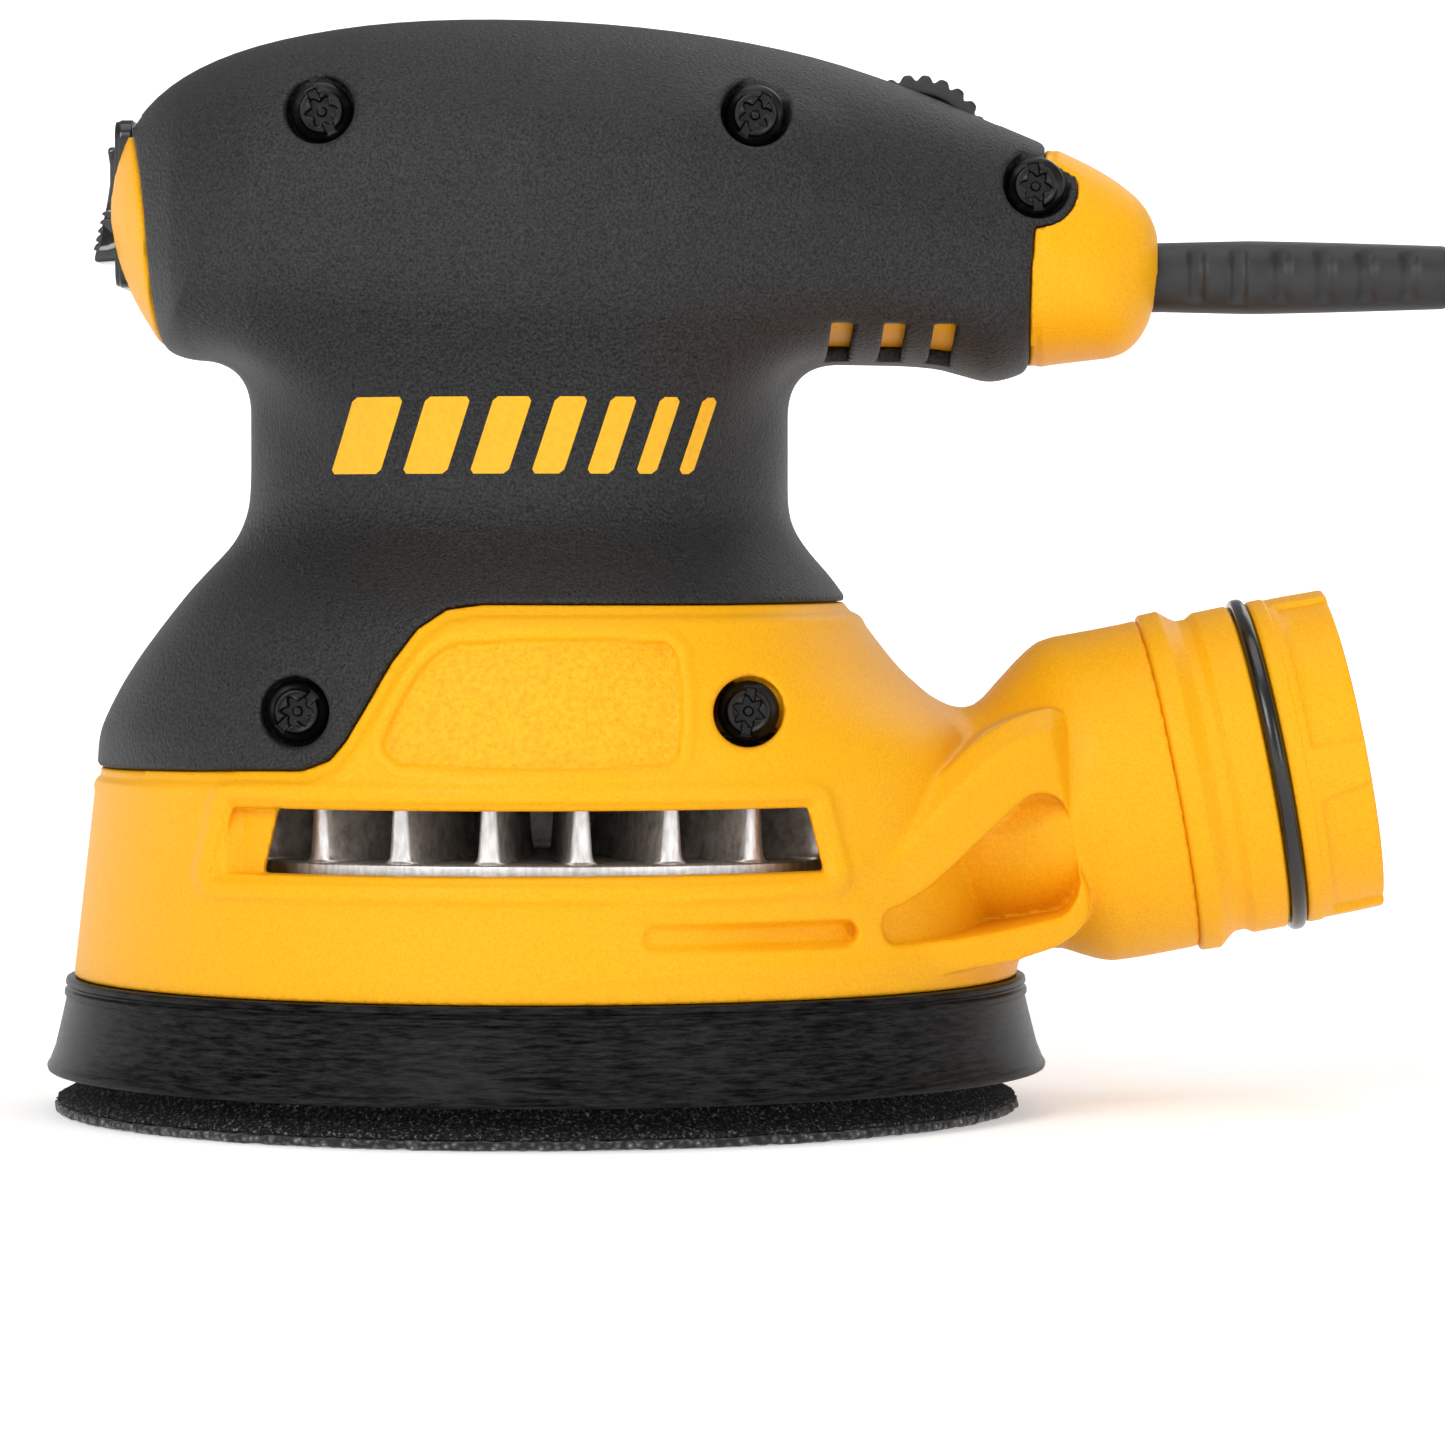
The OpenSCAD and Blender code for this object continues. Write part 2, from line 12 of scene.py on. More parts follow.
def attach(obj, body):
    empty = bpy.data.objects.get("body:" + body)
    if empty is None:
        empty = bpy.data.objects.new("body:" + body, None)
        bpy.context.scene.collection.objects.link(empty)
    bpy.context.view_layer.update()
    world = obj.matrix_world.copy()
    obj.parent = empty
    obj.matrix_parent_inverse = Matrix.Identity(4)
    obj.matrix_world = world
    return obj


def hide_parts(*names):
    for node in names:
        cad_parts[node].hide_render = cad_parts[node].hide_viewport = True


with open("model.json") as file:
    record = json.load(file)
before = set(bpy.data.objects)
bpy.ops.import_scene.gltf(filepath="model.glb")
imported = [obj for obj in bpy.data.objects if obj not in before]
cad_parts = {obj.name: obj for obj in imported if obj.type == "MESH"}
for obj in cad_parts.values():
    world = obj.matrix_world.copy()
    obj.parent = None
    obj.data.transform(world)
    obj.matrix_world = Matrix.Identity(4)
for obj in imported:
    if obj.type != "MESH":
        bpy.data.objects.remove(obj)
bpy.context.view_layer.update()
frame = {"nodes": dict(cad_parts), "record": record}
MM = 0.001
BODY = "sander_body"


# ---------------------------------------------------------------- camera

def make_camera():
    """A long lens level with the neck of the sander, tipped down a little."""
    distance = 0.814
    frame_width = 0.188
    data = bpy.data.cameras.new("camera")
    data.sensor_width = 36.0
    data.lens = 36.0 * distance / frame_width
    camera = bpy.data.objects.new("camera", data)
    bpy.context.collection.objects.link(camera)
    camera.location = (0.0229, -distance, 0.073)
    target = Vector((0.0229, 0.0, 0.05))
    camera.rotation_euler = (target - camera.location).to_track_quat("-Z", "Y").to_euler()
    bpy.context.scene.camera = camera


make_camera()
bpy.context.scene.view_settings.view_transform = "Standard"


# ---------------------------------------------------------------- node materials

class Shader:
    """Builds one procedural material around a Principled shader."""

    def __init__(self, name, color, roughness, metallic=0.0, specular=0.5, coat=0.0, sheen=0.0):
        self.material = bpy.data.materials.new(name)
        self.material.use_nodes = True
        self.nodes = self.material.node_tree.nodes
        self.links = self.material.node_tree.links
        self.bsdf = self.nodes["Principled BSDF"]
        for socket, value in (
            ("Base Color", (*color, 1.0)), ("Roughness", roughness), ("Metallic", metallic),
            ("Specular IOR Level", specular), ("Coat Weight", coat), ("Sheen Weight", sheen),
        ):
            self.bsdf.inputs[socket].default_value = value
        self.height = None
        self.place = self.nodes.new("ShaderNodeTexCoord").outputs["Object"]

    def node(self, kind, inputs, output=0, **settings):
        """Adds a node, sets or links its inputs, and returns one of its outputs."""
        node = self.nodes.new("ShaderNode" + kind)
        for name, value in settings.items():
            setattr(node, name, value)
        for socket, value in inputs.items():
            if isinstance(value, bpy.types.NodeSocket):
                self.links.new(value, node.inputs[socket])
            else:
                node.inputs[socket].default_value = value
        return node.outputs[output]

    def drive(self, socket, value):
        self.links.new(value, self.bsdf.inputs[socket])

    def noise(self, scale, detail=3.0, roughness=0.55, vector=None):
        inputs = {"Scale": scale, "Detail": detail, "Roughness": roughness, "Vector": vector or self.place}
        return self.node("TexNoise", inputs, "Fac")

    def stretched_noise(self, scale, detail, roughness, stretch):
        """Noise on coordinates multiplied by a vector."""
        place = self.node("VectorMath", {0: self.place, 1: stretch}, operation="MULTIPLY")
        return self.noise(scale, detail, roughness, place)

    def polar(self):
        """Angle about Z, distance from Z, and height."""
        x, y, z = self.nodes.new("ShaderNodeSeparateXYZ").outputs
        self.links.new(self.place, x.node.inputs[0])
        flat = self.node("CombineXYZ", {0: x, 1: y})
        radius = self.node("VectorMath", {0: flat}, "Value", operation="LENGTH")
        return self.node("Math", {0: y, 1: x}, operation="ARCTAN2"), radius, z

    def streaks(self, scale, detail, roughness, along):
        """Noise drawn out round the Z axis."""
        angle, radius, z = self.polar()
        arc = self.node("Math", {0: angle, 1: 0.06 * along}, operation="MULTIPLY")
        return self.noise(scale, detail, roughness, self.node("CombineXYZ", {0: arc, 1: radius, 2: z}))

    def cells(self, scale, feature="F1"):
        return self.node("TexVoronoi", {"Scale": scale, "Vector": self.place}, "Distance", feature=feature)

    def ramp(self, value, stops):
        """Maps a value to colours at the given positions."""
        node = self.nodes.new("ShaderNodeValToRGB")
        while len(node.color_ramp.elements) < len(stops):
            node.color_ramp.elements.new(0.5)
        for element, (position, color) in zip(node.color_ramp.elements, stops):
            element.position = position
            element.color = (*color, 1.0)
        self.links.new(value, node.inputs[0])
        return node.outputs[0]

    def spread(self, value, low, high, start=0.0, end=1.0):
        """Maps start..end to low..high."""
        ends = {"From Min": start, "From Max": end, "To Min": low, "To Max": high}
        return self.node("MapRange", {**ends, "Value": value})

    def color(self, value, *stops):
        self.drive("Base Color", self.ramp(value, stops))

    def rough(self, value, low, high):
        self.drive("Roughness", self.spread(value, low, high))

    def bump(self, value, distance, strength=1.0):
        """Adds a bump whose full height is distance millimetres."""
        under = {"Normal": self.height} if self.height is not None else {}
        inputs = {"Strength": strength, "Distance": distance * MM, "Height": value, **under}
        self.height = self.node("Bump", inputs)
        self.drive("Normal", self.height)


def yellow_plastic():
    s = Shader("yellow_plastic", (0.85, 0.38, 0.006), 0.42, specular=0.16)
    s.color(s.noise(3200.0, 2.0, 0.6), (0.36, (0.80, 0.36, 0.004)), (0.64, (0.90, 0.42, 0.007)))
    s.rough(s.noise(900.0, 2.0), 0.36, 0.52)
    s.bump(s.noise(2300.0, 2.0, 0.65), 0.09, 0.7)
    s.bump(s.noise(480.0, 2.0, 0.5), 0.06, 0.4)
    return s.material


def yellow_texture():
    """The coarser spark-eroded grain inside the sunk side panel."""
    s = Shader("yellow_texture", (0.86, 0.40, 0.008), 0.5, specular=0.2)
    tone = s.noise(1300.0, 3.0, 0.7)
    s.color(tone, (0.34, (0.76, 0.34, 0.005)), (0.66, (0.94, 0.45, 0.010)))
    s.rough(tone, 0.42, 0.62)
    s.bump(s.noise(1000.0, 3.0, 0.7), 0.36)
    return s.material


def grip_rubber():
    s = Shader("grip_rubber", (0.015, 0.015, 0.017), 0.6, specular=0.3)
    grain = s.noise(3200.0, 3.0, 0.7)
    s.color(grain, (0.38, (0.002, 0.002, 0.0022)), (0.62, (0.030, 0.030, 0.032)))
    s.rough(s.noise(60.0, 2.0), 0.46, 0.6)
    s.bump(s.cells(1700.0), 0.14, 0.9)
    s.bump(grain, 0.14, 0.9)
    return s.material


def skirt_rubber():
    s = Shader("skirt_rubber", (0.012, 0.012, 0.013), 0.34, specular=0.05)
    streaks = s.streaks(2000.0, 4.0, 0.75, 0.14)
    s.color(streaks, (0.38, (0.001, 0.001, 0.0012)), (0.66, (0.022, 0.022, 0.023)))
    s.rough(streaks, 0.24, 0.46)
    s.bump(streaks, 0.07, 0.7)
    return s.material


def pad_foam():
    s = Shader("pad_foam", (0.02, 0.02, 0.021), 0.9, specular=0.2)
    grain = s.noise(2000.0, 4.0, 0.85)
    # The pale grey end of the ramp is painted glints on the foam's grain.
    pore, skin, painted_glint = (0.002, 0.002, 0.0025), (0.02, 0.02, 0.021), (0.4, 0.4, 0.39)
    s.color(grain, (0.42, pore), (0.56, skin), (0.7, painted_glint))
    s.bump(s.cells(1500.0), 0.35)
    s.bump(grain, 0.35)
    return s.material


def hook_fabric():
    s = Shader("hook_fabric", (0.05, 0.05, 0.05), 0.85, specular=0.3, sheen=0.25)
    tips = s.cells(1100.0)
    s.color(tips, (0.0, (0.42, 0.42, 0.40)), (0.22, (0.10, 0.10, 0.10)), (0.6, (0.015, 0.015, 0.015)))
    s.bump(tips, 0.3)
    return s.material


def cast_metal():
    s = Shader("cast_metal", (0.66, 0.67, 0.68), 0.34, metallic=1.0)
    tone = s.noise(260.0, 4.0, 0.65)
    s.color(tone, (0.25, (0.40, 0.40, 0.41)), (0.75, (0.80, 0.81, 0.82)))
    s.rough(tone, 0.26, 0.5)
    s.bump(s.noise(1200.0, 3.0), 0.06, 0.5)
    return s.material


def ground_steel():
    s = Shader("ground_steel", (0.60, 0.61, 0.62), 0.24, metallic=1.0)
    lines = s.streaks(1600.0, 3.0, 0.6, 0.05)
    s.color(lines, (0.3, (0.50, 0.51, 0.52)), (0.7, (0.70, 0.71, 0.72)))
    s.rough(lines, 0.16, 0.36)
    s.bump(lines, 0.02, 0.4)
    return s.material


def laminated_steel():
    s = Shader("laminated_steel", (0.20, 0.20, 0.21), 0.42, metallic=0.9)
    sheets = s.stretched_noise(900.0, 1.0, 0.5, (0.05, 0.05, 2.2))
    s.color(sheets, (0.4, (0.12, 0.12, 0.13)), (0.6, (0.28, 0.28, 0.29)))
    s.bump(sheets, 0.08, 0.8)
    return s.material


def black_steel():
    s = Shader("black_steel", (0.010, 0.010, 0.011), 0.34, metallic=0.1, specular=0.3)
    wear = s.noise(420.0, 4.0, 0.7)
    s.color(wear, (0.5, (0.004, 0.004, 0.0045)), (0.95, (0.025, 0.025, 0.025)))
    s.rough(wear, 0.22, 0.44)
    s.bump(s.noise(1800.0, 2.0), 0.03, 0.5)
    return s.material


def glossy_rubber():
    s = Shader("glossy_rubber", (0.008, 0.008, 0.009), 0.2, specular=0.55)
    s.rough(s.noise(320.0), 0.12, 0.32)
    s.bump(s.noise(600.0, 2.0), 0.03, 0.4)
    return s.material


def cord_rubber():
    s = Shader("cord_rubber", (0.014, 0.014, 0.015), 0.5, specular=0.45)
    tone = s.noise(240.0)
    s.color(tone, (0.3, (0.010, 0.010, 0.011)), (0.8, (0.026, 0.026, 0.028)))
    s.rough(tone, 0.4, 0.6)
    s.bump(s.noise(1400.0, 2.0), 0.04, 0.5)
    return s.material


def woven_strap():
    s = Shader("woven_strap", (0.012, 0.012, 0.013), 0.85, specular=0.3, sheen=0.3)
    pile = s.cells(2200.0)
    s.color(pile, (0.0, (0.05, 0.05, 0.05)), (0.5, (0.008, 0.008, 0.009)))
    s.bump(pile, 0.2)
    return s.material


def moulded_black():
    s = Shader("moulded_black", (0.016, 0.016, 0.017), 0.45, specular=0.45)
    s.rough(s.noise(500.0), 0.36, 0.54)
    s.color(s.noise(90.0, 2.0), (0.3, (0.013, 0.013, 0.014)), (0.7, (0.022, 0.022, 0.023)))
    s.bump(s.noise(1500.0, 2.0), 0.04, 0.5)
    return s.material


def polished_black():
    s = Shader("polished_black", (0.012, 0.012, 0.013), 0.16, specular=0.5, coat=0.3)
    s.rough(s.noise(300.0), 0.1, 0.24)
    s.bump(s.noise(200.0, 2.0), 0.02, 0.3)
    return s.material


def wound_copper():
    s = Shader("wound_copper", (0.42, 0.13, 0.04), 0.3, metallic=0.55, coat=0.4)
    wires = s.stretched_noise(1300.0, 2.0, 0.5, (1.0, 1.0, 0.15))
    s.color(wires, (0.35, (0.20, 0.05, 0.015)), (0.65, (0.58, 0.22, 0.07)))
    s.bump(wires, 0.2, 0.9)
    return s.material


def turned_copper():
    s = Shader("turned_copper", (0.70, 0.33, 0.17), 0.28, metallic=1.0)
    lines = s.streaks(1500.0, 2.0, 0.5, 0.04)
    s.color(lines, (0.3, (0.55, 0.24, 0.12)), (0.7, (0.80, 0.42, 0.24)))
    s.bump(lines, 0.03, 0.5)
    return s.material


def stamped_brass():
    s = Shader("stamped_brass", (0.68, 0.47, 0.18), 0.28, metallic=1.0)
    tone = s.noise(300.0, 4.0, 0.6)
    s.color(tone, (0.3, (0.56, 0.37, 0.13)), (0.7, (0.78, 0.57, 0.25)))
    s.rough(tone, 0.2, 0.42)
    s.bump(s.noise(900.0, 2.0), 0.02, 0.4)
    return s.material


def pressed_carbon():
    s = Shader("pressed_carbon", (0.03, 0.03, 0.032), 0.6, metallic=0.2)
    tone = s.noise(1400.0, 4.0, 0.7)
    s.color(tone, (0.4, (0.018, 0.018, 0.019)), (0.75, (0.07, 0.07, 0.072)))
    s.bump(tone, 0.08, 0.7)
    return s.material


def circuit_board():
    s = Shader("circuit_board", (0.01, 0.10, 0.03), 0.35, coat=0.3)
    tracks = s.cells(260.0, "SMOOTH_F1")
    s.color(tracks, (0.3, (0.02, 0.16, 0.05)), (0.5, (0.008, 0.075, 0.025)))
    s.bump(tracks, 0.06, 0.6)
    return s.material


def printed_yellow():
    """Ink of the side marking, a little duller than the housing."""
    s = Shader("printed_yellow", (0.88, 0.44, 0.015), 0.5, specular=0.3)
    s.color(s.noise(1100.0, 3.0, 0.7), (0.3, (0.82, 0.40, 0.012)), (0.7, (0.94, 0.48, 0.018)))
    s.bump(s.noise(1150.0, 3.0, 0.7), 0.08, 0.6)
    return s.material


def fan_metal():
    """Cast fan: dull and darker on the blades, turned bright on the rim and the blades' outer edges."""
    s = Shader("fan_metal", (0.6, 0.6, 0.61), 0.4, metallic=1.0)
    turned = s.spread(s.polar()[1], 0.0, 1.0, 0.0490, 0.0501)
    cast = s.noise(420.0, 4.0, 0.7)
    # The cast blades and disc are coloured a darker, brownish grey than the turned rim.
    darker_cast = s.ramp(cast, [(0.3, (0.2, 0.185, 0.17)), (0.7, (0.58, 0.55, 0.51))])
    lines = s.stretched_noise(1700.0, 2.0, 0.5, (1.0, 1.0, 0.3))
    bright = s.ramp(lines, [(0.3, (0.62, 0.62, 0.62)), (0.7, (0.90, 0.90, 0.90))])
    s.drive("Base Color", s.node("Mix", {0: turned, 6: darker_cast, 7: bright}, 2, data_type="RGBA"))
    s.drive("Metallic", s.spread(turned, 0.35, 1.0))
    s.rough(cast, 0.3, 0.55)
    s.bump(s.noise(1300.0), 0.08, 0.7)
    return s.material


MATERIALS = {
    "yellow_plastic": yellow_plastic(),
    "grip_rubber": grip_rubber(),
    "skirt_rubber": skirt_rubber(),
    "seal_rubber": glossy_rubber(),
    "cord_rubber": cord_rubber(),
    "pad_foam": pad_foam(),
    "hook_fabric": hook_fabric(),
    "tie_fabric": woven_strap(),
    "black_plastic": moulded_black(),
    "rocker_plastic": polished_black(),
    "dial_plastic": moulded_black(),
    "black_steel": black_steel(),
    "bearing_steel": ground_steel(),
    "lamination_steel": laminated_steel(),
    "cast_aluminium": cast_metal(),
    "enamelled_copper": wound_copper(),
    "copper": turned_copper(),
    "brass": stamped_brass(),
    "graphite": pressed_carbon(),
    "circuit_board": circuit_board(),
}
PANEL_TEXTURE = yellow_texture()
PRINT = printed_yellow()


# ---------------------------------------------------------------- mesh helpers

def add_object(name, data, slot, body=BODY, replaces=(), material=None):
    """Links an object, gives it its slot's material or its own, and attaches it to its body."""
    piece = bpy.data.objects.new(name, data)
    bpy.context.collection.objects.link(piece)
    data.materials.append(material or MATERIALS[slot])
    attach(piece, body)
    if replaces:
        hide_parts(*replaces)
    return piece


def mesh_from(name, points, faces, smooth=True):
    mesh = bpy.data.meshes.new(name)
    mesh.from_pydata([tuple(p) for p in points], [], [tuple(f) for f in faces])
    mesh.validate()
    mesh.update()
    if smooth:
        mesh.polygons.foreach_set("use_smooth", [True] * len(mesh.polygons))
    return mesh


def add_solid(name, points, faces, slot, smooth=True, **words):
    """Adds a closed mesh, with its faces turned so that they all look outward."""
    mesh = mesh_from(name, points, faces, smooth)
    work = bmesh.new()
    work.from_mesh(mesh)
    bmesh.ops.recalc_face_normals(work, faces=work.faces)
    work.to_mesh(mesh)
    work.free()
    return add_object(name, mesh, slot, **words)


def ring_faces(count, around, closed):
    """Faces between rings of the same length, back to the first ring too if closed."""
    faces = []
    for i in range(count if closed else count - 1):
        a, b = i * around, (i + 1) % count * around
        faces += [(a + j, a + (j + 1) % around, b + (j + 1) % around, b + j) for j in range(around)]
    return faces


def tube_grid(rings):
    """Closed surface through rings of the same length that also close on each other."""
    return [p for ring in rings for p in ring], ring_faces(len(rings), len(rings[0]), True)


def stacked(rings):
    """Closed surface through a stack of rings of the same length, with a flat face at each end."""
    around = len(rings[0])
    faces = ring_faces(len(rings), around, False)
    faces.append(tuple(reversed(range(around))))
    faces.append(tuple((len(rings) - 1) * around + j for j in range(around)))
    return [p for ring in rings for p in ring], faces


def joined(parts):
    """One list of points and one of faces from several such pairs."""
    points, faces = [], []
    for part_points, part_faces in parts:
        base = len(points)
        points.extend(part_points)
        faces.extend(tuple(base + k for k in face) for face in part_faces)
    return points, faces


def rounded_path(corners, step):
    """Points along a closed outline of (u, v, corner radius) corners, with arcs at the corners."""
    points = []
    count = len(corners)
    for i in range(count):
        before = Vector(corners[i - 1][:2])
        here = Vector(corners[i][:2])
        after = Vector(corners[(i + 1) % count][:2])
        radius = corners[i][2]
        into, out = (here - before).normalized(), (after - here).normalized()
        turn = into.angle(out)
        if radius <= 0 or turn < 0.02:
            points.append(here)
            continue
        reach = min(radius * math.tan(turn / 2), (here - before).length / 2, (after - here).length / 2)
        pieces = max(2, int(turn * radius / step) + 1)
        start, end = here - into * reach, here + out * reach
        for k in range(pieces + 1):
            t = k / pieces
            points.append(start * (1 - t) ** 2 + here * 2 * t * (1 - t) + end * t ** 2)
    dense = []
    for i, p in enumerate(points):
        q = points[(i + 1) % len(points)]
        pieces = max(1, int((q - p).length / (3 * step)))
        dense += [p.lerp(q, k / pieces) for k in range(pieces)]
    return dense


def revolved(name, corners, slot, place=None, shape=None, around=360, step=0.35, **words):
    """Turns a closed outline of (radius, height, corner radius) about the axis of place.

    shape(radius, height, angle) may move a point's radius.
    """
    place = place or Matrix.Identity(4)
    profile = rounded_path(corners, step)
    rings = []
    for j in range(around):
        angle = 2 * math.pi * j / around
        c, s = math.cos(angle), math.sin(angle)
        reach = [shape(p.x, p.y, angle) if shape else p.x for p in profile]
        rings.append([place @ Vector((r * c * MM, r * s * MM, p.y * MM)) for r, p in zip(reach, profile)])
    return add_object(name, mesh_from(name, *tube_grid(rings)), slot, **words)


# ---------------------------------------------------------------- cord

CORD_D = 7.0
CORD_ROUTE = [
    (117, 0, 107.4), (127.5, -0.8, 106.2), (136.5, -3.8, 103.2), (144, -9, 98.4), (149.6, -15.2, 91.8),
    (153, -20.6, 83.6), (154.8, -24.2, 74.4), (155.8, -26.3, 64.6), (156.4, -27, 54.6), (156.8, -26.4, 44.6),
    (157, -24, 34.8), (157, -19, 26), (157, -11.6, 18.9), (157, -2.6, 14), (157, 7.4, 11.4), (157, 19, 10.6),
]
COIL_AT = (209.5, 31.0)
COIL_COLUMNS = 4
COIL_R = 42.0
LEAD_ROUTE = [(262, 23, 3.5), (260.6, 15, 3.9), (258.3, 6.5, 4.9), (256.5, -2, 6.1), (256, -10, 6.5)]
POINTS_A_TURN = 24


def coil_points():
    """Turns of the coil, from the outer turn of the upper layer in, then out along the floor."""
    outer = COIL_R + (COIL_COLUMNS - 1) * CORD_D / 2
    turns = 2 * COIL_COLUMNS
    innermost = COIL_COLUMNS - 1
    points = []
    for i in range(int((turns - 0.5) * POINTS_A_TURN) + 1):
        turn = i / POINTS_A_TURN
        whole, part = int(turn), turn - int(turn)
        # Each turn keeps its own ring and changes to the next over its last fifth.
        change = max(0.0, (part - 0.8) / 0.2)
        change = change * change * (3 - 2 * change)
        if whole < innermost:
            ring, height = whole + change, 1.5 * CORD_D
        elif whole == innermost:
            ring, height = whole, (1.5 - change) * CORD_D
        else:
            ring, height = turns - 1 - whole - (0 if whole == turns - 1 else change), 0.5 * CORD_D
        radius = outer - ring * CORD_D
        angle = math.pi - 2 * math.pi * turn
        points.append((COIL_AT[0] + radius * math.cos(angle), COIL_AT[1] + radius * math.sin(angle), height))
    return points


def cord_curve(name, points):
    """One open spline through the points, straight ends kept straight."""
    curve = bpy.data.curves.new(name, "CURVE")
    curve.dimensions = "3D"
    curve.bevel_depth = CORD_D / 2 * MM
    curve.bevel_resolution = 6
    curve.use_fill_caps = True
    curve.resolution_u = 8
    spline = curve.splines.new("BEZIER")
    spline.bezier_points.add(len(points) - 1)
    for bezier, p in zip(spline.bezier_points, points):
        bezier.co = Vector(p) * MM
        bezier.handle_left_type = bezier.handle_right_type = "AUTO"
    return curve


def make_cord():
    points = CORD_ROUTE + coil_points() + LEAD_ROUTE
    replaced = ("power_cord", "cord_coil", "plug_lead")
    cord = add_object("mains_cord", cord_curve("mains_cord", points), "cord_rubber", replaces=replaced)


# ---------------------------------------------------------------- solid fields
# The housing and the grip are worked out as signed distances in millimetres on a grid that holds the
# left half, negative inside, and meshed where the distance is zero. The right half is its mirror image.

STEP = 0.45
LOW = np.array([-65.0, -64.0, 15.5])
HIGH = np.array([86.5, 1.6, 143.0])
GX = np.arange(LOW[0], HIGH[0], STEP, dtype=np.float32)[:, None, None]
GY = np.arange(LOW[1], HIGH[1], STEP, dtype=np.float32)[None, :, None]
GZ = np.arange(LOW[2], HIGH[2], STEP, dtype=np.float32)[None, None, :]


def smooth_min(a, b, k):
    h = np.clip(0.5 + 0.5 * (b - a) / k, 0, 1)
    return (b + (a - b) * h - k * h * (1 - h)).astype(np.float32)


def smooth_max(a, b, k):
    return -smooth_min(-a, -b, k)


def smooth_step(low, high, value):
    t = np.clip((value - low) / (high - low), 0, 1)
    return t * t * (3 - 2 * t)


def curve_of(table, spread=1.2):
    """A smooth curve through a table of (height, reach), sampled at the grid's levels, and its slope."""
    fine = np.arange(LOW[2] - 10, HIGH[2] + 10, 0.25)
    values = np.interp(fine, *zip(*table))
    kernel = np.exp(-0.5 * (np.arange(-16, 17) * 0.25 / spread) ** 2)
    values = np.convolve(np.pad(values, 16, mode="edge"), kernel / kernel.sum(), mode="valid")
    level = np.interp(GZ, fine, values).astype(np.float32)
    slope = np.interp(GZ, fine, np.gradient(values, 0.25)).astype(np.float32)
    return level, slope


def outline(points, rounds=2):
    """A closed outline with its corners cut smooth, a few times over."""
    points = [np.array(p, dtype=float) for p in points]
    for _ in range(rounds):
        cut = []
        for i, p in enumerate(points):
            q = points[(i + 1) % len(points)]
            cut += [p * 0.75 + q * 0.25, p * 0.25 + q * 0.75]
        points = cut
    return points


def inside_outline(points, u, v):
    """Whether each place (u, v) lies inside a closed outline."""
    inside = np.zeros(np.broadcast_shapes(u.shape, v.shape), dtype=bool)
    for (ax, az), (bx, bz) in zip(points, [*points[1:], points[0]]):
        if az != bz:
            inside ^= ((az > v) != (bz > v)) & (u < (bx - ax) * (v - az) / (bz - az) + ax)
    return inside


def flat_distance(points, grow=0.0):
    """Signed distance to a closed outline in the XZ plane, as a grid one cell thick in Y."""
    best = np.full(np.broadcast_shapes(GX.shape, GZ.shape), 1e9, dtype=np.float32)
    for a, b in zip(points, [*points[1:], points[0]]):
        best = np.minimum(best, segment_distance_squared(a, b))
    distance = np.sqrt(best)
    return (np.where(inside_outline(points, GX, GZ), -distance, distance) - grow).astype(np.float32)


def segment_distance_squared(a, b):
    (ax, az), (bx, bz) = a, b
    dx, dz = bx - ax, bz - az
    t = np.clip(((GX - ax) * dx + (GZ - az) * dz) / (dx * dx + dz * dz + 1e-12), 0, 1)
    return (GX - ax - t * dx) ** 2 + (GZ - az - t * dz) ** 2


FRONT = [
    (17, 61.3), (44.4, 58.2), (49, 57.9), (51.5, 56.8), (55.2, 54.9), (58.8, 52.6), (62.7, 49.7),
    (67.4, 46.0), (70.5, 43.1), (73.0, 40.6), (75.2, 39.4), (78, 38.5), (82, 38.3), (130, 38.3),
]
REAR = [
    (17, 61.3), (44.4, 58.1), (48, 56.2), (50.5, 53.8), (53.3, 50.1), (57, 45.9), (61.2, 42.6), (65.5, 39.4),
    (69, 37), (72.1, 34.1), (75.2, 32.0), (78, 31.4), (130, 31.4),
]
SIDE = [
    (17, 61.3), (44.4, 58.1), (56, 55.8), (63, 53.2), (66, 50.6), (69, 45.5), (72, 40), (75, 36), (78, 34),
    (82, 33.2), (130, 33.2),
]
HEAD_SIDE = [
    (-44, 96.9), (-47.5, 97.4), (-49.4, 98.6), (-51.3, 101.5), (-53.2, 104.8), (-55.4, 109.5), (-56.9, 115.5),
    (-56, 122), (-52.4, 129), (-46, 134.2), (-36, 138), (-21, 140.5), (-4, 141), (15, 139.8), (33, 136.8),
    (47, 132.3), (58, 127.8), (68, 123.6), (74, 120.4), (78.4, 116.5), (80, 110.5), (79.2, 104.6),
    (77.4, 100), (74.6, 97.5), (70, 97.0), (63.4, 96.2), (61, 94.9), (57.5, 94.1), (54, 95.1), (50, 96.2),
    (41, 96.5), (0, 96.9),
]
HEAD_PLAN = [
    (-60, 21), (-57, 23), (-53, 29), (-46, 35), (-36, 39.5), (-22, 42), (0, 42), (18, 38.6), (34, 32.4),
    (46, 26), (58, 20.4), (68, 17.2), (75, 15.5), (84, 15),
]
DUCT_SIDE = [
    (25, 50.5), (44, 51.2), (50, 51.3), (53.6, 51.4), (56.2, 52.6), (58.8, 55.6), (61.8, 58.9), (64.6, 61.0),
    (70, 62.0), (90, 65.8), (90, 22.2), (74.6, 19.0), (70.5, 19.6), (66, 21.0), (58, 19.6), (25, 18.6),
]
OUTLET_TILT = math.radians(11)
OUTLET_FOOT = (70.0, 40.0)
OUTLET_JOINT = 10.95
TUBE_R = 21.5


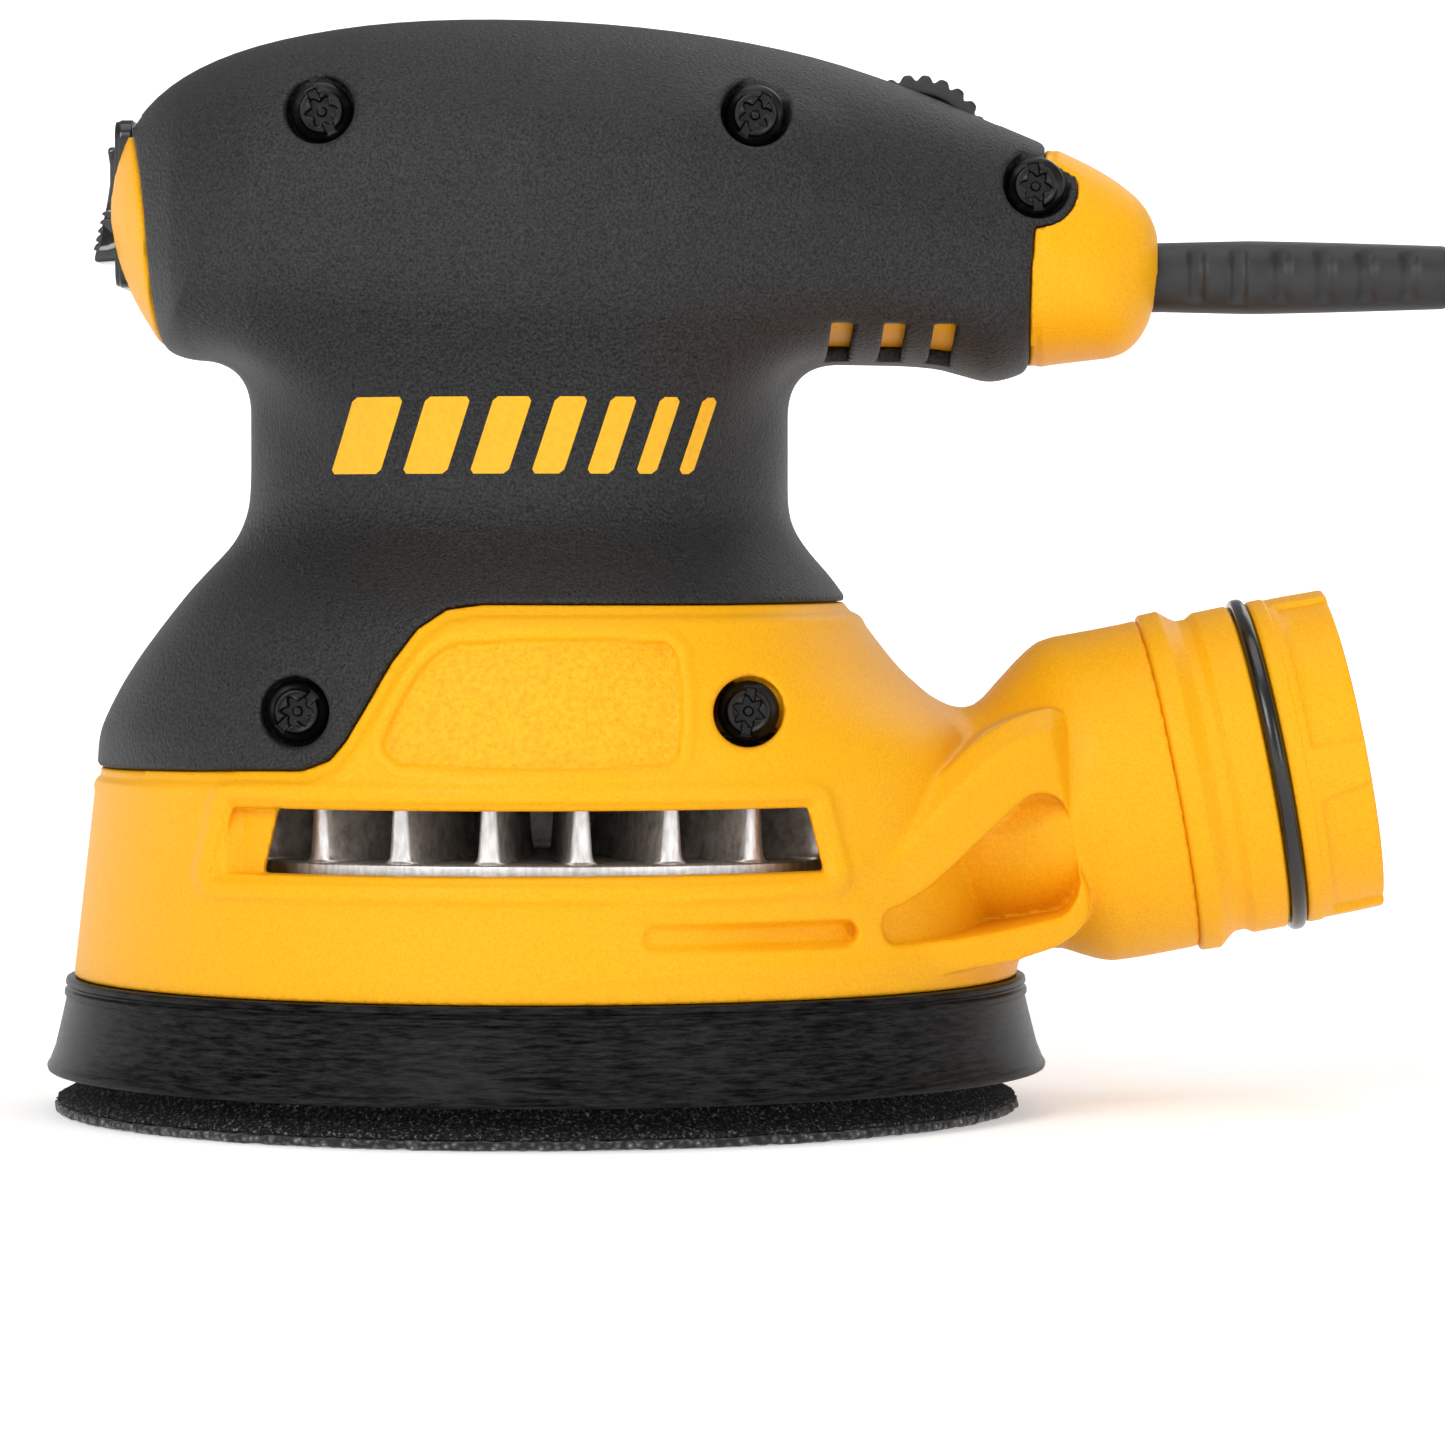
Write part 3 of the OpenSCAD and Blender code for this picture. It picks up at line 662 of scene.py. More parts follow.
def body_field():
    """The bell and the neck: a stack of ellipses whose reach differs to the front, rear and side."""
    front, front_slope = curve_of(FRONT)
    rear, rear_slope = curve_of(REAR)
    side, side_slope = curve_of(SIDE)
    reach = np.where(GX > 0, rear, front)
    slope = np.where(GX > 0, rear_slope, front_slope)
    q = np.maximum(np.sqrt((GX / reach) ** 2 + (GY / side) ** 2), 0.05)
    along = GX / (reach ** 2 * q)
    across = GY / (side ** 2 * q)
    up = -((GX ** 2) * slope / reach ** 3 + (GY ** 2) * side_slope / side ** 3) / q
    steep = np.maximum(np.sqrt(along ** 2 + across ** 2 + up ** 2), 0.01)
    return smooth_max((q - 1) / steep, GZ - 116, 6.0)


def pillow_field(side, half_width, roundness, power):
    """A solid with a given side outline, whose width swells with the depth inside the outline."""
    a = np.abs(GY) / half_width
    b = np.clip(1 + side / roundness, 0.0, None)
    q = np.maximum((a ** power + b ** power) ** (1 / power), 0.05)
    slopes = np.gradient(q, STEP)
    steep = np.sqrt(sum(s * s for s in slopes))
    return ((q - 1) / np.maximum(steep, 0.012)).astype(np.float32)


def head_field():
    side = flat_distance(outline(HEAD_SIDE))
    width = np.interp(GX, *zip(*HEAD_PLAN)).astype(np.float32)
    roundness = 13 + 12 * smooth_step(102, 122, GZ)
    return pillow_field(side, width, roundness, 2.3)


def outlet_distances():
    """How far along the outlet's axis each place lies beyond its foot, and how far above the axis."""
    c, s = math.cos(OUTLET_TILT), math.sin(OUTLET_TILT)
    x, z = GX - OUTLET_FOOT[0], GZ - OUTLET_FOOT[1]
    return x * c + z * s, z * c - x * s


def duct_field(along, aside):
    """The duct, which ends as a plain round tube about the outlet's axis."""
    side = flat_distance(outline(DUCT_SIDE, 1))
    width = np.interp(GX, [40, 56, 66], [24.5, 23.5, TUBE_R]).astype(np.float32)
    free = pillow_field(side, width, TUBE_R, 2.0)
    tube = np.sqrt(aside ** 2 + GY ** 2) - TUBE_R
    round_end = smooth_step(-5, 7, along)
    return (free * (1 - round_end) + tube * round_end).astype(np.float32)


def web_front(x):
    """How far out the web between the bell and the duct stands at x."""
    return -(46.5 - 0.78 * (x - 36))


WEB = [
    (30, 17.6), (30, 27), (37.7, 31.6), (43.5, 36.6), (50, 43.4), (55.8, 48.6), (61, 51.2), (65.8, 52.0),
    (67.4, 48.6), (69.1, 38), (70.2, 26.5), (66.6, 22.6), (60.3, 20.9), (45.2, 18.8), (37.7, 17.4),
]
POCKET = [
    (60.0, 40.4), (61.4, 41.6), (63.2, 41.9), (65.1, 41.4), (66.5, 39.8), (67.0, 38.1), (68.4, 31.1),
    (68.1, 28.6), (66.9, 26.7), (65.9, 25.9), (54.5, 24.0), (44.7, 23.4), (43.3, 23.8), (42.5, 25.5),
    (42.7, 27.2), (43.5, 28.1), (45.1, 28.5), (48.4, 30.4), (51.6, 33.0), (55.5, 36.5),
]
WINDOW = [(-33.4, 32.8), (-31.6, 40.8), (33.3, 40.9), (35.3, 33.0)]
WINDOW_SLOPE = [(-39.2, 32.8), (-37.3, 40.8), (-31.0, 40.8), (-32.8, 32.8)]
WINDOW_FRAME = [(-39.4, 32.6), (-37.5, 41.0), (33.6, 41.1), (35.7, 32.8)]
PANEL = [
    (-18.0, 48.0), (-18.1, 49.6), (-14.5, 56.6), (-12.1, 59.6), (-8.6, 61.2), (15.4, 61.3), (17.5, 59.4),
    (17.7, 47.9), (15.9, 46.2), (-15.7, 46.2),
]
GROOVE = [(14.8, 25.5), (37.9, 25.4)]
RIBS = [
    ([(11, 29.2), (24.6, 30.6), (35, 31.9), (40, 34)], 2.0, 0.4),
    ([(6, 27.4), (14, 28.4), (30, 28.8), (40, 28.5)], 1.6, 0.25),
    ([(4, 20.6), (22, 21.6), (40, 21.0), (60, 21.4)], 1.6, 0.3),
]
BORDER = [
    (-80, 44.4), (-58, 44.5), (-33, 45.4), (-28.4, 45.5), (-25.0, 46.8), (-23.0, 49.2), (-20.7, 53.1),
    (-17.5, 58.7), (-14.4, 62.8), (-10.8, 65.2), (-6.3, 65.8), (23, 65.7), (90, 66.1),
]
TAIL_SEAM = [
    (64.2, 70), (62.6, 96), (62.0, 101), (62.2, 110), (63.4, 118), (65.5, 128), (66, 150), (95, 150),
    (95, 70),
]
NOSE_SEAM = [
    (-49.4, 90), (-49.3, 100), (-49.9, 108), (-50.8, 118), (-53.0, 126), (-57, 131), (-80, 132),
    (-80, 90),
]
VENT_X = (37.8, 44.5, 50.9)
SCREWS = [(-29.5, 52.6, 44.8), (26.1, 52.6, 45.0), (-27, 127, 35.0), (27, 127, 29.0), (63, 119, 13.0)]
SKIN = 2.0
WALL = 2.5


def capsule(ends, radius):
    return np.sqrt(segment_distance_squared(*ends)) - radius


def ridge(distance, middle, half, height):
    """A soft ridge that follows a flat outline at the given distance from it."""
    t = np.clip(1 - np.abs(distance - middle) / half, 0, 1)
    return height * t * t * (3 - 2 * t)


def box_field(low, high):
    """Distance to an upright box, for cuts."""
    sides = [np.maximum(low[i] - g, g - high[i]) for i, g in enumerate((GX, GY, GZ))]
    return np.maximum(np.maximum(sides[0], sides[1]), sides[2])


def round_cut(x, z, radius):
    return np.sqrt((GX - x) ** 2 + (GZ - z) ** 2) - radius


def vent_fields():
    """The slanted vents under the rear of the head."""
    return [
        flat_distance([(x - 2.0, 92), (x - 1.0, 101), (x + 1.5, 101), (x + 0.5, 92)], 0.15) for x in VENT_X
    ]


def make_fields():
    """Distances of the bare housing and of the grip skin for the left half, before the screw recesses."""
    body = body_field()
    head = head_field()
    blend = 7 + 12 * smooth_step(8, 32, np.abs(GY))
    trunk = smooth_min(body, head, blend)
    beyond_foot, aside = outlet_distances()
    open_duct = duct_field(beyond_foot, aside)
    duct = np.maximum(open_duct, beyond_foot - OUTLET_JOINT)
    shell = smooth_min(trunk, duct, 3.0)
    hollow = np.minimum(trunk + SKIN + WALL, open_duct + WALL)

    behind = GY - web_front(GX)
    # The web's upper edge slopes back from its flat front.
    bevel = (2.4 - 0.6 * np.clip(behind, 0, 5)) * smooth_step(27, 34, GZ)
    web = smooth_max(flat_distance(outline(WEB, 1)) + bevel, -behind * 0.79, 0.5)
    bare = smooth_min(shell, web, 0.7)
    # The pocket goes through the web and a little way into the bell, and stops at the duct.
    pocket = flat_distance(outline(POCKET, 1)) + 0.05 * np.maximum(behind, 0)
    pocket = np.maximum(pocket, np.maximum(-(trunk + 3.0), -open_duct))
    bare = smooth_max(bare, -pocket, 0.35)

    # Raised and sunk details of the side, in millimetres out of the surface.
    frame_distance = flat_distance(WINDOW_FRAME, 0.8)
    panel = flat_distance(outline(PANEL, 1))
    border = flat_distance([*BORDER, (90, -30), (-80, -30)])
    raised = 0.75 * smooth_step(2.6, 1.5, frame_distance) * smooth_step(-0.5, 0.3, frame_distance)
    raised = raised + ridge(frame_distance, 2.2, 1.2, 0.15)
    raised = raised - 1.0 * smooth_step(0.55, -0.1, panel) + ridge(panel, 1.4, 1.0, 0.3)
    deepening = 0.9 + 1.8 * smooth_step(14, 38, GX)
    raised = raised - deepening * smooth_step(0.9, -0.2, capsule(GROOVE, 1.0))
    raised = raised - 0.55 * smooth_step(-1.7, -1.1, border) * (border < 1)
    raised = raised + ridge(border, -2.3, 0.9, 0.2)
    for path, half, height in RIBS:
        near = capsule(path[:2], 0.0)
        for i in range(1, len(path) - 1):
            near = np.minimum(near, capsule(path[i:i + 2], 0.0))
        raised = raised + ridge(near, 0.0, half, height)
    bare = bare - raised.astype(np.float32)

    # The slanted end of the window is a slope that starts at the surface.
    slope_depth = 0.85 * (GX + 38.6)
    bare = smooth_max(bare, -np.maximum(flat_distance(WINDOW_SLOPE), -(body + slope_depth)), 0.5)
    window = np.maximum(flat_distance(WINDOW), GY + 30)

    core = trunk + SKIN
    tail = flat_distance(outline(TAIL_SEAM, 1))
    # Leaning with the depth, the seam round the nose meets the head's surface squarely.
    nose = flat_distance(outline(NOSE_SEAM, 1)) + 0.8 * trunk
    uncovered = np.minimum(np.minimum(border, tail), nose)
    lip = 0.45 * smooth_step(-1.5, -1.0, np.maximum(tail, -50) * (GZ > 80)) * (GZ > 80)
    outer_bare = np.maximum(bare + lip * (tail > -2) * (GX > 40), uncovered + 0.06)
    housing = smooth_max(np.maximum(np.minimum(core, outer_bare), -hollow), -window, 0.5)

    skin = np.maximum(smooth_max(trunk, uncovered * -1 + 0.06, 0.9), -core)
    skin = np.maximum(skin, -duct)
    for vent in vent_fields():
        mouth = np.maximum(vent, GY + 7)
        skin = smooth_max(skin, -mouth, 0.4)
        housing = np.maximum(housing, -np.maximum(mouth, GZ - 98.2))

    for cut in (
        box_field((-70, -9, 106), (-47, 9, 128)),
        box_field((37.9, -3.6, 112), (58.1, 3.6, 142)),
        np.maximum(np.sqrt(GY ** 2 + (GZ - 107.8) ** 2) - 5.3, 60 - GX),
    ):
        housing = np.maximum(housing, -cut)
        skin = smooth_max(skin, -cut, 0.5)
    housing = np.maximum(housing, 17.5 - GZ)
    return housing, skin, trunk


def with_screw_recesses(housing, skin, trunk):
    """Cuts the left side's screw recesses. Where the grip covers the shell it lines the recess too."""
    for x, z, depth in SCREWS:
        above_seat = GY + depth - 3.2
        covered = not (0 < x < 60 and z < 60)
        hole = np.maximum(round_cut(x, z, 4.35), above_seat)
        if covered:
            lining = np.maximum(np.maximum(round_cut(x, z, 5.4), above_seat - 0.9), trunk)
            housing = np.maximum(housing, -np.maximum(round_cut(x, z, 5.5), above_seat - 1.0))
            skin = smooth_max(np.minimum(skin, lining), -hole, 0.8)
        else:
            housing = smooth_max(housing, -hole, 0.8)
        shank = np.maximum(round_cut(x, z, 2.1), GY + 0 * GX)
        housing = np.maximum(housing, -shank)
        skin = np.maximum(skin, -shank)
    return housing, skin


def field_mesh(name, field, low, step, mirrored=False):
    """Meshes the zero surface of a distance field whose first sample is at low."""
    grid = openvdb.FloatGrid(3.0)
    grid.copyFromArray(np.ascontiguousarray(np.clip(field / step, -3, 3), dtype=np.float32))
    grid.gridClass = openvdb.GridClass.LEVEL_SET
    points, triangles, quads = grid.convertToPolygons(0.0, 0.0)
    points = (points * step + low) * MM
    if mirrored:
        points[:, 1] *= -1
    else:
        quads = quads[:, ::-1]
        triangles = triangles[:, ::-1]
    mesh = bpy.data.meshes.new(name)
    mesh.vertices.add(len(points))
    mesh.vertices.foreach_set("co", points.astype(np.float32).ravel())
    corners = np.concatenate([quads.ravel(), triangles.ravel()]).astype(np.int32)
    mesh.loops.add(len(corners))
    mesh.loops.foreach_set("vertex_index", corners)
    starts = np.concatenate([np.arange(len(quads)) * 4, len(quads) * 4 + np.arange(len(triangles)) * 3])
    mesh.polygons.add(len(starts))
    mesh.polygons.foreach_set("loop_start", starts.astype(np.int32))
    mesh.polygons.foreach_set("use_smooth", np.ones(len(starts), dtype=bool))
    mesh.update(calc_edges=True)
    mesh.validate()
    return mesh


def half_object(name, field, mirrored, slot, replaced):
    """One side of the sander, closed with a hairline gap at the parting plane."""
    mesh = field_mesh(name, np.maximum(field, GY + 0.04), LOW, STEP, mirrored)
    add_object(name, mesh, slot, replaces=(replaced,))
    if slot == "yellow_plastic":
        mesh.materials.append(PANEL_TEXTURE)
        centres = np.empty(len(mesh.polygons) * 3, dtype=np.float32)
        mesh.polygons.foreach_get("center", centres)
        x, y, z = centres.reshape(-1, 3).T / MM
        on_panel = (np.abs(y) > 40) & inside_outline(outline(PANEL, 1), x, z)
        mesh.polygons.foreach_set("material_index", on_panel.astype(np.int32))


def make_shells():
    housing, skin, trunk = make_fields()
    half_object("shell_right", housing, True, "yellow_plastic", "housing_right")
    half_object("skin_right", skin, True, "grip_rubber", "grip_right")
    housing, skin = with_screw_recesses(housing, skin, trunk)
    half_object("shell_left", housing, False, "yellow_plastic", "housing_left")
    half_object("skin_left", skin, False, "grip_rubber", "grip_left")


make_shells()


# ---------------------------------------------------------------- dust outlet

def outlet_place():
    """Frame at the end of the duct with its Z axis along the outlet."""
    foot = Vector((OUTLET_FOOT[0], 0, OUTLET_FOOT[1])) * MM
    return Matrix.Translation(foot) @ Matrix.Rotation(math.pi / 2 - OUTLET_TILT, 4, "Y")


def outlet_shape(radius, height, angle):
    """Sinks the four bayonet pads round the collar and leaves the tongues between them."""
    if radius < 20 or height < 28.4:
        return radius
    facing = 270 - math.degrees(angle)
    facing = (facing + 180) % 360 - 180
    tilt = 180 - facing if abs(facing) > 90 else facing
    tilt = (tilt + 180) % 360 - 180
    low_edge = -10 - 4 * (35.5 - height) / 7
    upper = min(tilt - 5, 74 - tilt)
    lower = min(low_edge - tilt, tilt + 74)
    inside = max(upper, lower)
    sink = 0.62 * float(smooth_step(-0.6, 0.8, inside)) * float(smooth_step(28.4, 28.9, height))
    return radius - sink


def make_outlet():
    place = outlet_place()
    profile = [
        (17.0, 4.5, 0.3), (18.5, 4.5, 0.3), (18.5, 10.9, 0), (21.2, 10.9, 0), (22.15, 11.15, 0.5),
        (22.25, 13.7, 0.5), (21.0, 15.2, 0.5), (20.55, 15.9, 0.6), (20.5, 17.2, 0.5), (21.15, 18.3, 0.6),
        (21.2, 22.5, 0.3), (20.9, 22.8, 0.2), (19.8, 22.9, 0.2), (19.8, 25.15, 0.2), (21.0, 25.3, 0.3),
        (21.2, 25.8, 0.3), (21.2, 27.3, 0.1), (21.0, 27.6, 0.1), (21.0, 28.3, 0), (21.0, 28.6, 0),
        (21.0, 28.95, 0), (21.0, 30.5, 0),
        (20.95, 33.0, 0), (20.9, 35.3, 0.3), (19.0, 35.5, 0.4), (17.2, 35.5, 0.5), (17.0, 34.5, 0.3),
    ]
    revolved(
        "outlet_tube", profile, "yellow_plastic", place, outlet_shape, around=540, step=0.3,
        replaces=("dust_outlet",),
    )
    ring = [(21.85, 23.0, 1.0), (21.85, 25.05, 1.0), (19.85, 25.05, 1.0), (19.85, 23.0, 1.0)]
    revolved(
        "outlet_seal", ring, "seal_rubber", place, seal_shape, around=480, step=0.12,
        replaces=("outlet_o_ring",),
    )


def seal_shape(radius, height, angle):
    """A rubber ring never seats quite evenly."""
    return radius + 0.05 * math.sin(3 * angle + 0.6) + 0.03 * math.sin(7 * angle)


make_outlet()


# ---------------------------------------------------------------- skirt and pad

def skirt_shape(radius, height, angle):
    """A slight waviness of the soft skirt, stronger towards its free edge."""
    free = max(0.0, (15.0 - height) / 10)
    return radius + 0.10 * free * (math.sin(3 * angle + 0.4) + 0.6 * math.sin(5 * angle + 2.0))


def make_skirt():
    profile = [
        (57.0, 15.4, 0.4), (57.0, 17.45, 0.2), (61.6, 17.45, 0.2), (62.25, 17.3, 0.3), (62.35, 16.6, 0.2),
        (62.0, 16.35, 0.15), (62.0, 16.1, 0.15), (62.45, 15.8, 0.2), (62.5, 15.2, 0.2), (62.2, 14.95, 0.1),
        (62.3, 14.5, 0.8), (62.75, 12.5, 3), (63.7, 8.6, 3), (64.45, 6.7, 1.0), (64.85, 6.1, 0.4),
        (64.75, 5.45, 0.4), (64.2, 5.3, 0.3), (62.9, 5.6, 0.3), (62.3, 8.0, 2), (60.6, 15.2, 0.8),
    ]
    revolved(
        "skirt_ring", profile, "skirt_rubber", shape=skirt_shape, around=420, step=0.25,
        replaces=("dust_skirt",),
    )


PAD_X = -1.2
PAD_STEP = 0.45


def soft_noise(shape, seed, spread):
    """Random values from -1 to 1, smoothed over a few cells."""
    values = np.random.default_rng(seed).standard_normal(shape).astype(np.float32)
    for _ in range(spread):
        for axis in range(3):
            values = (np.roll(values, 1, axis) + 2 * values + np.roll(values, -1, axis)) / 4
    return values / (3 * values.std())


def pad_layer(name, outline_points, rough, seed, slot, replaced):
    """A layer of the pad: a turned outline with a rough skin, and the dust and screw holes through it."""
    heights = [p[1] for p in outline_points]
    low = np.array([PAD_X - 64.0, -64.0, min(heights) - 1.0])
    high = np.array([PAD_X + 64.0, 64.0, max(heights) + 1.0])
    x = np.arange(low[0], high[0], PAD_STEP, dtype=np.float32)[:, None, None] - PAD_X
    y = np.arange(low[1], high[1], PAD_STEP, dtype=np.float32)[None, :, None]
    z = np.arange(low[2], high[2], PAD_STEP, dtype=np.float32)[None, None, :]
    radius = np.sqrt(x * x + y * y)
    edge = np.interp(z, heights, [p[0] for p in outline_points]).astype(np.float32)
    field = np.maximum((radius - edge) * 0.8, np.maximum(heights[0] - z, z - heights[-1]))
    for count, circle, hole, turn in ((8, 32.5, 4.5, 22.5), (4, 13.0, 5.2, 45.0)):
        for i in range(count):
            angle = math.radians(turn + 360 * i / count)
            away = np.sqrt((x - circle * math.cos(angle)) ** 2 + (y - circle * math.sin(angle)) ** 2)
            field = np.maximum(field, hole - away)
    near = np.clip(1 - np.abs(field) / 1.5, 0, 1)
    field = field + rough * near * soft_noise(field.shape, seed, 1) + 0.03
    # The lowest skin stays flat, because the pad stands on it.
    field = np.maximum(field, heights[0] + 0.02 - z)
    return add_object(name, field_mesh(name, field, low, PAD_STEP), slot, "pad", (replaced,))


def make_pad():
    foam = [(62.4, 1.2), (62.3, 1.9), (60.8, 2.6), (59.4, 3.5), (58.3, 4.6), (57.8, 6.0), (57.4, 9.0)]
    pad_layer("foam_disc", foam, 0.22, 5, "pad_foam", "pad_foam")
    hooks = [(62.45, 0.0), (62.45, 1.2)]
    pad_layer("hook_disc", hooks, 0.3, 9, "hook_fabric", "pad_hook_face")


make_skirt()
make_pad()


# ---------------------------------------------------------------- screws

SCREW_STEP = 0.11


def screw_field():
    """A domed head facing +Z, with a six-lobe recess, a slot and a raised ring, and its shank below."""
    low = np.array([-4.4, -4.4, -9.0])
    high = np.array([4.4, 4.4, 3.9])
    x, y, z = (np.arange(low[i], high[i], SCREW_STEP, dtype=np.float32) for i in range(3))
    x, y, z = x[:, None, None], y[None, :, None], z[None, None, :]
    radius = np.sqrt(x * x + y * y)
    dome = np.sqrt(radius ** 2 + (z + 3.4) ** 2) - 6.3
    head = smooth_max(np.maximum(radius - 3.8, -z), dome, 0.5)
    ring = np.sqrt((radius - 2.45) ** 2 + (z - 2.45) ** 2) - 0.28
    head = smooth_min(head, ring, 0.25)
    angle = np.arctan2(y, x)
    lobes = radius - (1.62 + 0.36 * np.cos(6 * angle))
    recess = np.maximum(lobes * 0.8, 0.9 - z)
    u, v = (x + y) / math.sqrt(2), (x - y) / math.sqrt(2)
    slot = np.maximum(np.maximum(np.abs(v) - 0.62, np.abs(u) - 2.95), 1.5 - z)
    head = smooth_max(smooth_max(head, -recess, 0.2), -slot, 0.2)
    pip = np.maximum(radius - 0.55, np.maximum(0.8 - z, z - 1.5))
    shank = np.maximum(radius - 1.95, np.maximum(z - 0.3, -8.6 - z))
    return np.minimum(np.minimum(head, pip), shank).astype(np.float32), low


def make_screws():
    field, low = screw_field()
    mesh = field_mesh("screw_mesh", field, low, SCREW_STEP)
    count = len(mesh.vertices)
    points = np.empty(count * 3, dtype=np.float32)
    mesh.vertices.foreach_get("co", points)
    points = points.reshape(-1, 3)
    faces = np.array([list(face.vertices) for face in mesh.polygons if len(face.vertices) == 4])
    bpy.data.meshes.remove(mesh)
    all_points, all_faces = [], []
    for i, (x, z, depth) in enumerate(SCREWS):
        turn = math.radians((0, 38, 71, 14, 52)[i])
        c, s = math.cos(turn), math.sin(turn)
        u = points[:, 0] * c - points[:, 1] * s
        w = points[:, 0] * s + points[:, 1] * c
        # The head's face looks along -Y, with its underside three millimetres behind.
        place = np.stack([u + x * MM, -points[:, 2] - (depth - 3.0) * MM, w + z * MM], axis=1)
        all_points.append(place)
        all_faces.append(faces + i * count)
    mesh = mesh_from("side_screws", np.concatenate(all_points), np.concatenate(all_faces))
    add_object("side_screws", mesh, "black_steel", replaces=("housing_screws",))


make_screws()


# ---------------------------------------------------------------- fan

BLADES = 28


def blade_rings(blade):
    """One blade, which tapers upwards from a filleted foot."""
    outer, foot_z = 50.7, 33.95
    # Half thickness against height above the disc.
    flare = [
        (0.0, 2.1), (0.4, 1.65), (0.9, 1.42), (1.8, 1.32), (5.0, 1.12), (8.6, 0.95), (9.2, 0.85), (9.45, 0.6),
    ]
    angle = 2 * math.pi * (blade + 0.5) / BLADES
    c, s = math.cos(angle), math.sin(angle)
    rings = []
    for height, half in flare:
        inner = 21.5 + 0.2 * height
        corner = min(0.5, half * 0.5)
        side = [
            (inner, -half * 0.8), (inner + 0.6, -half), (outer - corner, -half),
            (outer - corner * 0.3, -half * 0.72), (outer, -half * 0.45),
        ]
        loop = side + [(r, -w) for r, w in reversed(side)]
        rings.append([
            ((r * c - w * s) * MM, (r * s + w * c) * MM, (foot_z + height) * MM) for r, w in loop
        ])
    return rings


def make_fan():
    """Blades, the disc with the counterbored pad drive, and the hub."""
    words = {"body": "rotor", "replaces": ("fan",), "material": fan_metal()}
    blades = mesh_from("fan_blades", *joined(stacked(blade_rings(i)) for i in range(BLADES)))
    add_object("fan_blades", blades, "cast_aluminium", **words)
    disc = [
        (5.0, 33.9, 0), (9.0, 33.9, 0), (12.0, 34.0, 1), (50.7, 34.0, 0.25), (51.0, 33.7, 0.2),
        (51.0, 31.8, 0.25), (50.7, 31.5, 0.25), (18.0, 31.5, 1.0), (16.6, 30.5, 0.6), (16.5, 20.0, 0.5),
        (14.1, 20.0, 0.3), (14.1, 29.9, 0.3), (5.0, 30.0, 0),
    ]
    revolved("fan_disc", disc, "cast_aluminium", around=300, step=0.4, **words)
    hub = [
        (5.05, 34.0, 0), (9.6, 34.0, 0), (9.0, 35.2, 0.8), (8.9, 44.3, 0.5), (8.4, 44.5, 0.2),
        (5.05, 44.5, 0.2),
    ]
    revolved("fan_hub", hub, "cast_aluminium", around=96, step=0.3, **words)


make_fan()


# ---------------------------------------------------------------- switch, dial, boot and plug

def rectangle_ring(half_u, half_v, corner, per_corner=8, per_side=12):
    """Points round a rectangle with rounded corners, the same number whatever its size."""
    arcs = []
    for k, (su, sv) in enumerate(((1, 1), (-1, 1), (-1, -1), (1, -1))):
        u, v = su * (half_u - corner), sv * (half_v - corner)
        turns = [math.pi / 2 * (k + i / per_corner) for i in range(per_corner + 1)]
        arcs.append([(u + corner * math.cos(a), v + corner * math.sin(a)) for a in turns])
    points = []
    for arc, following in zip(arcs, [*arcs[1:], arcs[0]]):
        (u, v), (du, dv) = arc[-1], (following[0][k] - arc[-1][k] for k in (0, 1))
        points += arc + [(u + du * i / per_side, v + dv * i / per_side) for i in range(1, per_side)]
    return points


def edge_rounding(radius, pieces=4):
    """(inset, distance from the end) pairs of a rounded edge, from the end face inwards."""
    steps = [math.pi / 2 * i / pieces for i in range(pieces + 1)]
    return [(radius * (1 - math.sin(a)), radius * (1 - math.cos(a))) for a in steps]


ROCKER_AT = (-51.0, 117.0)
ROCKER_HALF = 5.8


def make_rocker():
    """Rocking button: a two-way slope with finger ridges on the pressed half and a dish on the other."""
    ridges = []
    for i in range(5):
        along = 0.16 + 0.15 * i
        for shift, out in ((-0.035, 0.0), (-0.018, 0.38), (0.018, 0.38), (0.035, 0.0)):
            t = along + shift
            ridges.append((-5.5 - 1.8 * t - out, -7.5 * t, 0.12 if out else 0.1))
    corners = [
        (-5.5, 7.5, 0.7), (-5.15, 5.2, 2.0), (-5.15, 2.6, 2.0), (-5.5, 0.3, 0.5), *ridges, (-7.3, -7.5, 0.7),
        (-3, -7.2, 0.6), (1, -3.5, 0.6), (1, 3.5, 0.6), (-3, 7.2, 0.6),
    ]
    profile = rounded_path(corners, 0.15)
    middle = Vector((-2.8, 0.0))
    rings = []
    ends = [(inset, ROCKER_HALF - back) for inset, back in edge_rounding(0.6)]
    for inset, y in [(i, -y) for i, y in ends] + [(i, y) for i, y in reversed(ends)]:
        places = [middle + (p - middle) * (1 - inset / (p - middle).length) for p in profile]
        rings.append([Vector((ROCKER_AT[0] + p.x, y, ROCKER_AT[1] + p.y)) * MM for p in places])
    add_solid(
        "rocker_button", *stacked(rings), "rocker_plastic", body="rocker", replaces=("switch_rocker",),
    )


def make_bezel():
    """Soft frame round the rocker with a raised bead."""
    outer = rectangle_ring(8.8, 10.8, 2.6)
    inner = rectangle_ring(7.4, 9.8, 1.6)
    # Part of the way from the inner to the outer edge, against depth along X.
    corners = [
        (0.0, -53.0, 0.1), (0.0, -54.4, 0.3), (0.25, -54.6, 0.1), (0.35, -55.2, 0.12), (0.75, -55.2, 0.12),
        (0.85, -54.7, 0.1), (1.0, -54.5, 0.2), (1.0, -53.0, 0.1),
    ]
    profile = rounded_path(corners, 0.06)
    rings = [
        [Vector((p.y, iu + (ou - iu) * p.x, ROCKER_AT[1] + iv + (ov - iv) * p.x)) * MM for p in profile]
        for (iu, iv), (ou, ov) in zip(inner, outer)
    ]
    add_solid("rocker_bezel", *tube_grid(rings), "seal_rubber", replaces=("switch_boot",))


DIAL_AT = (48.0, 124.4)


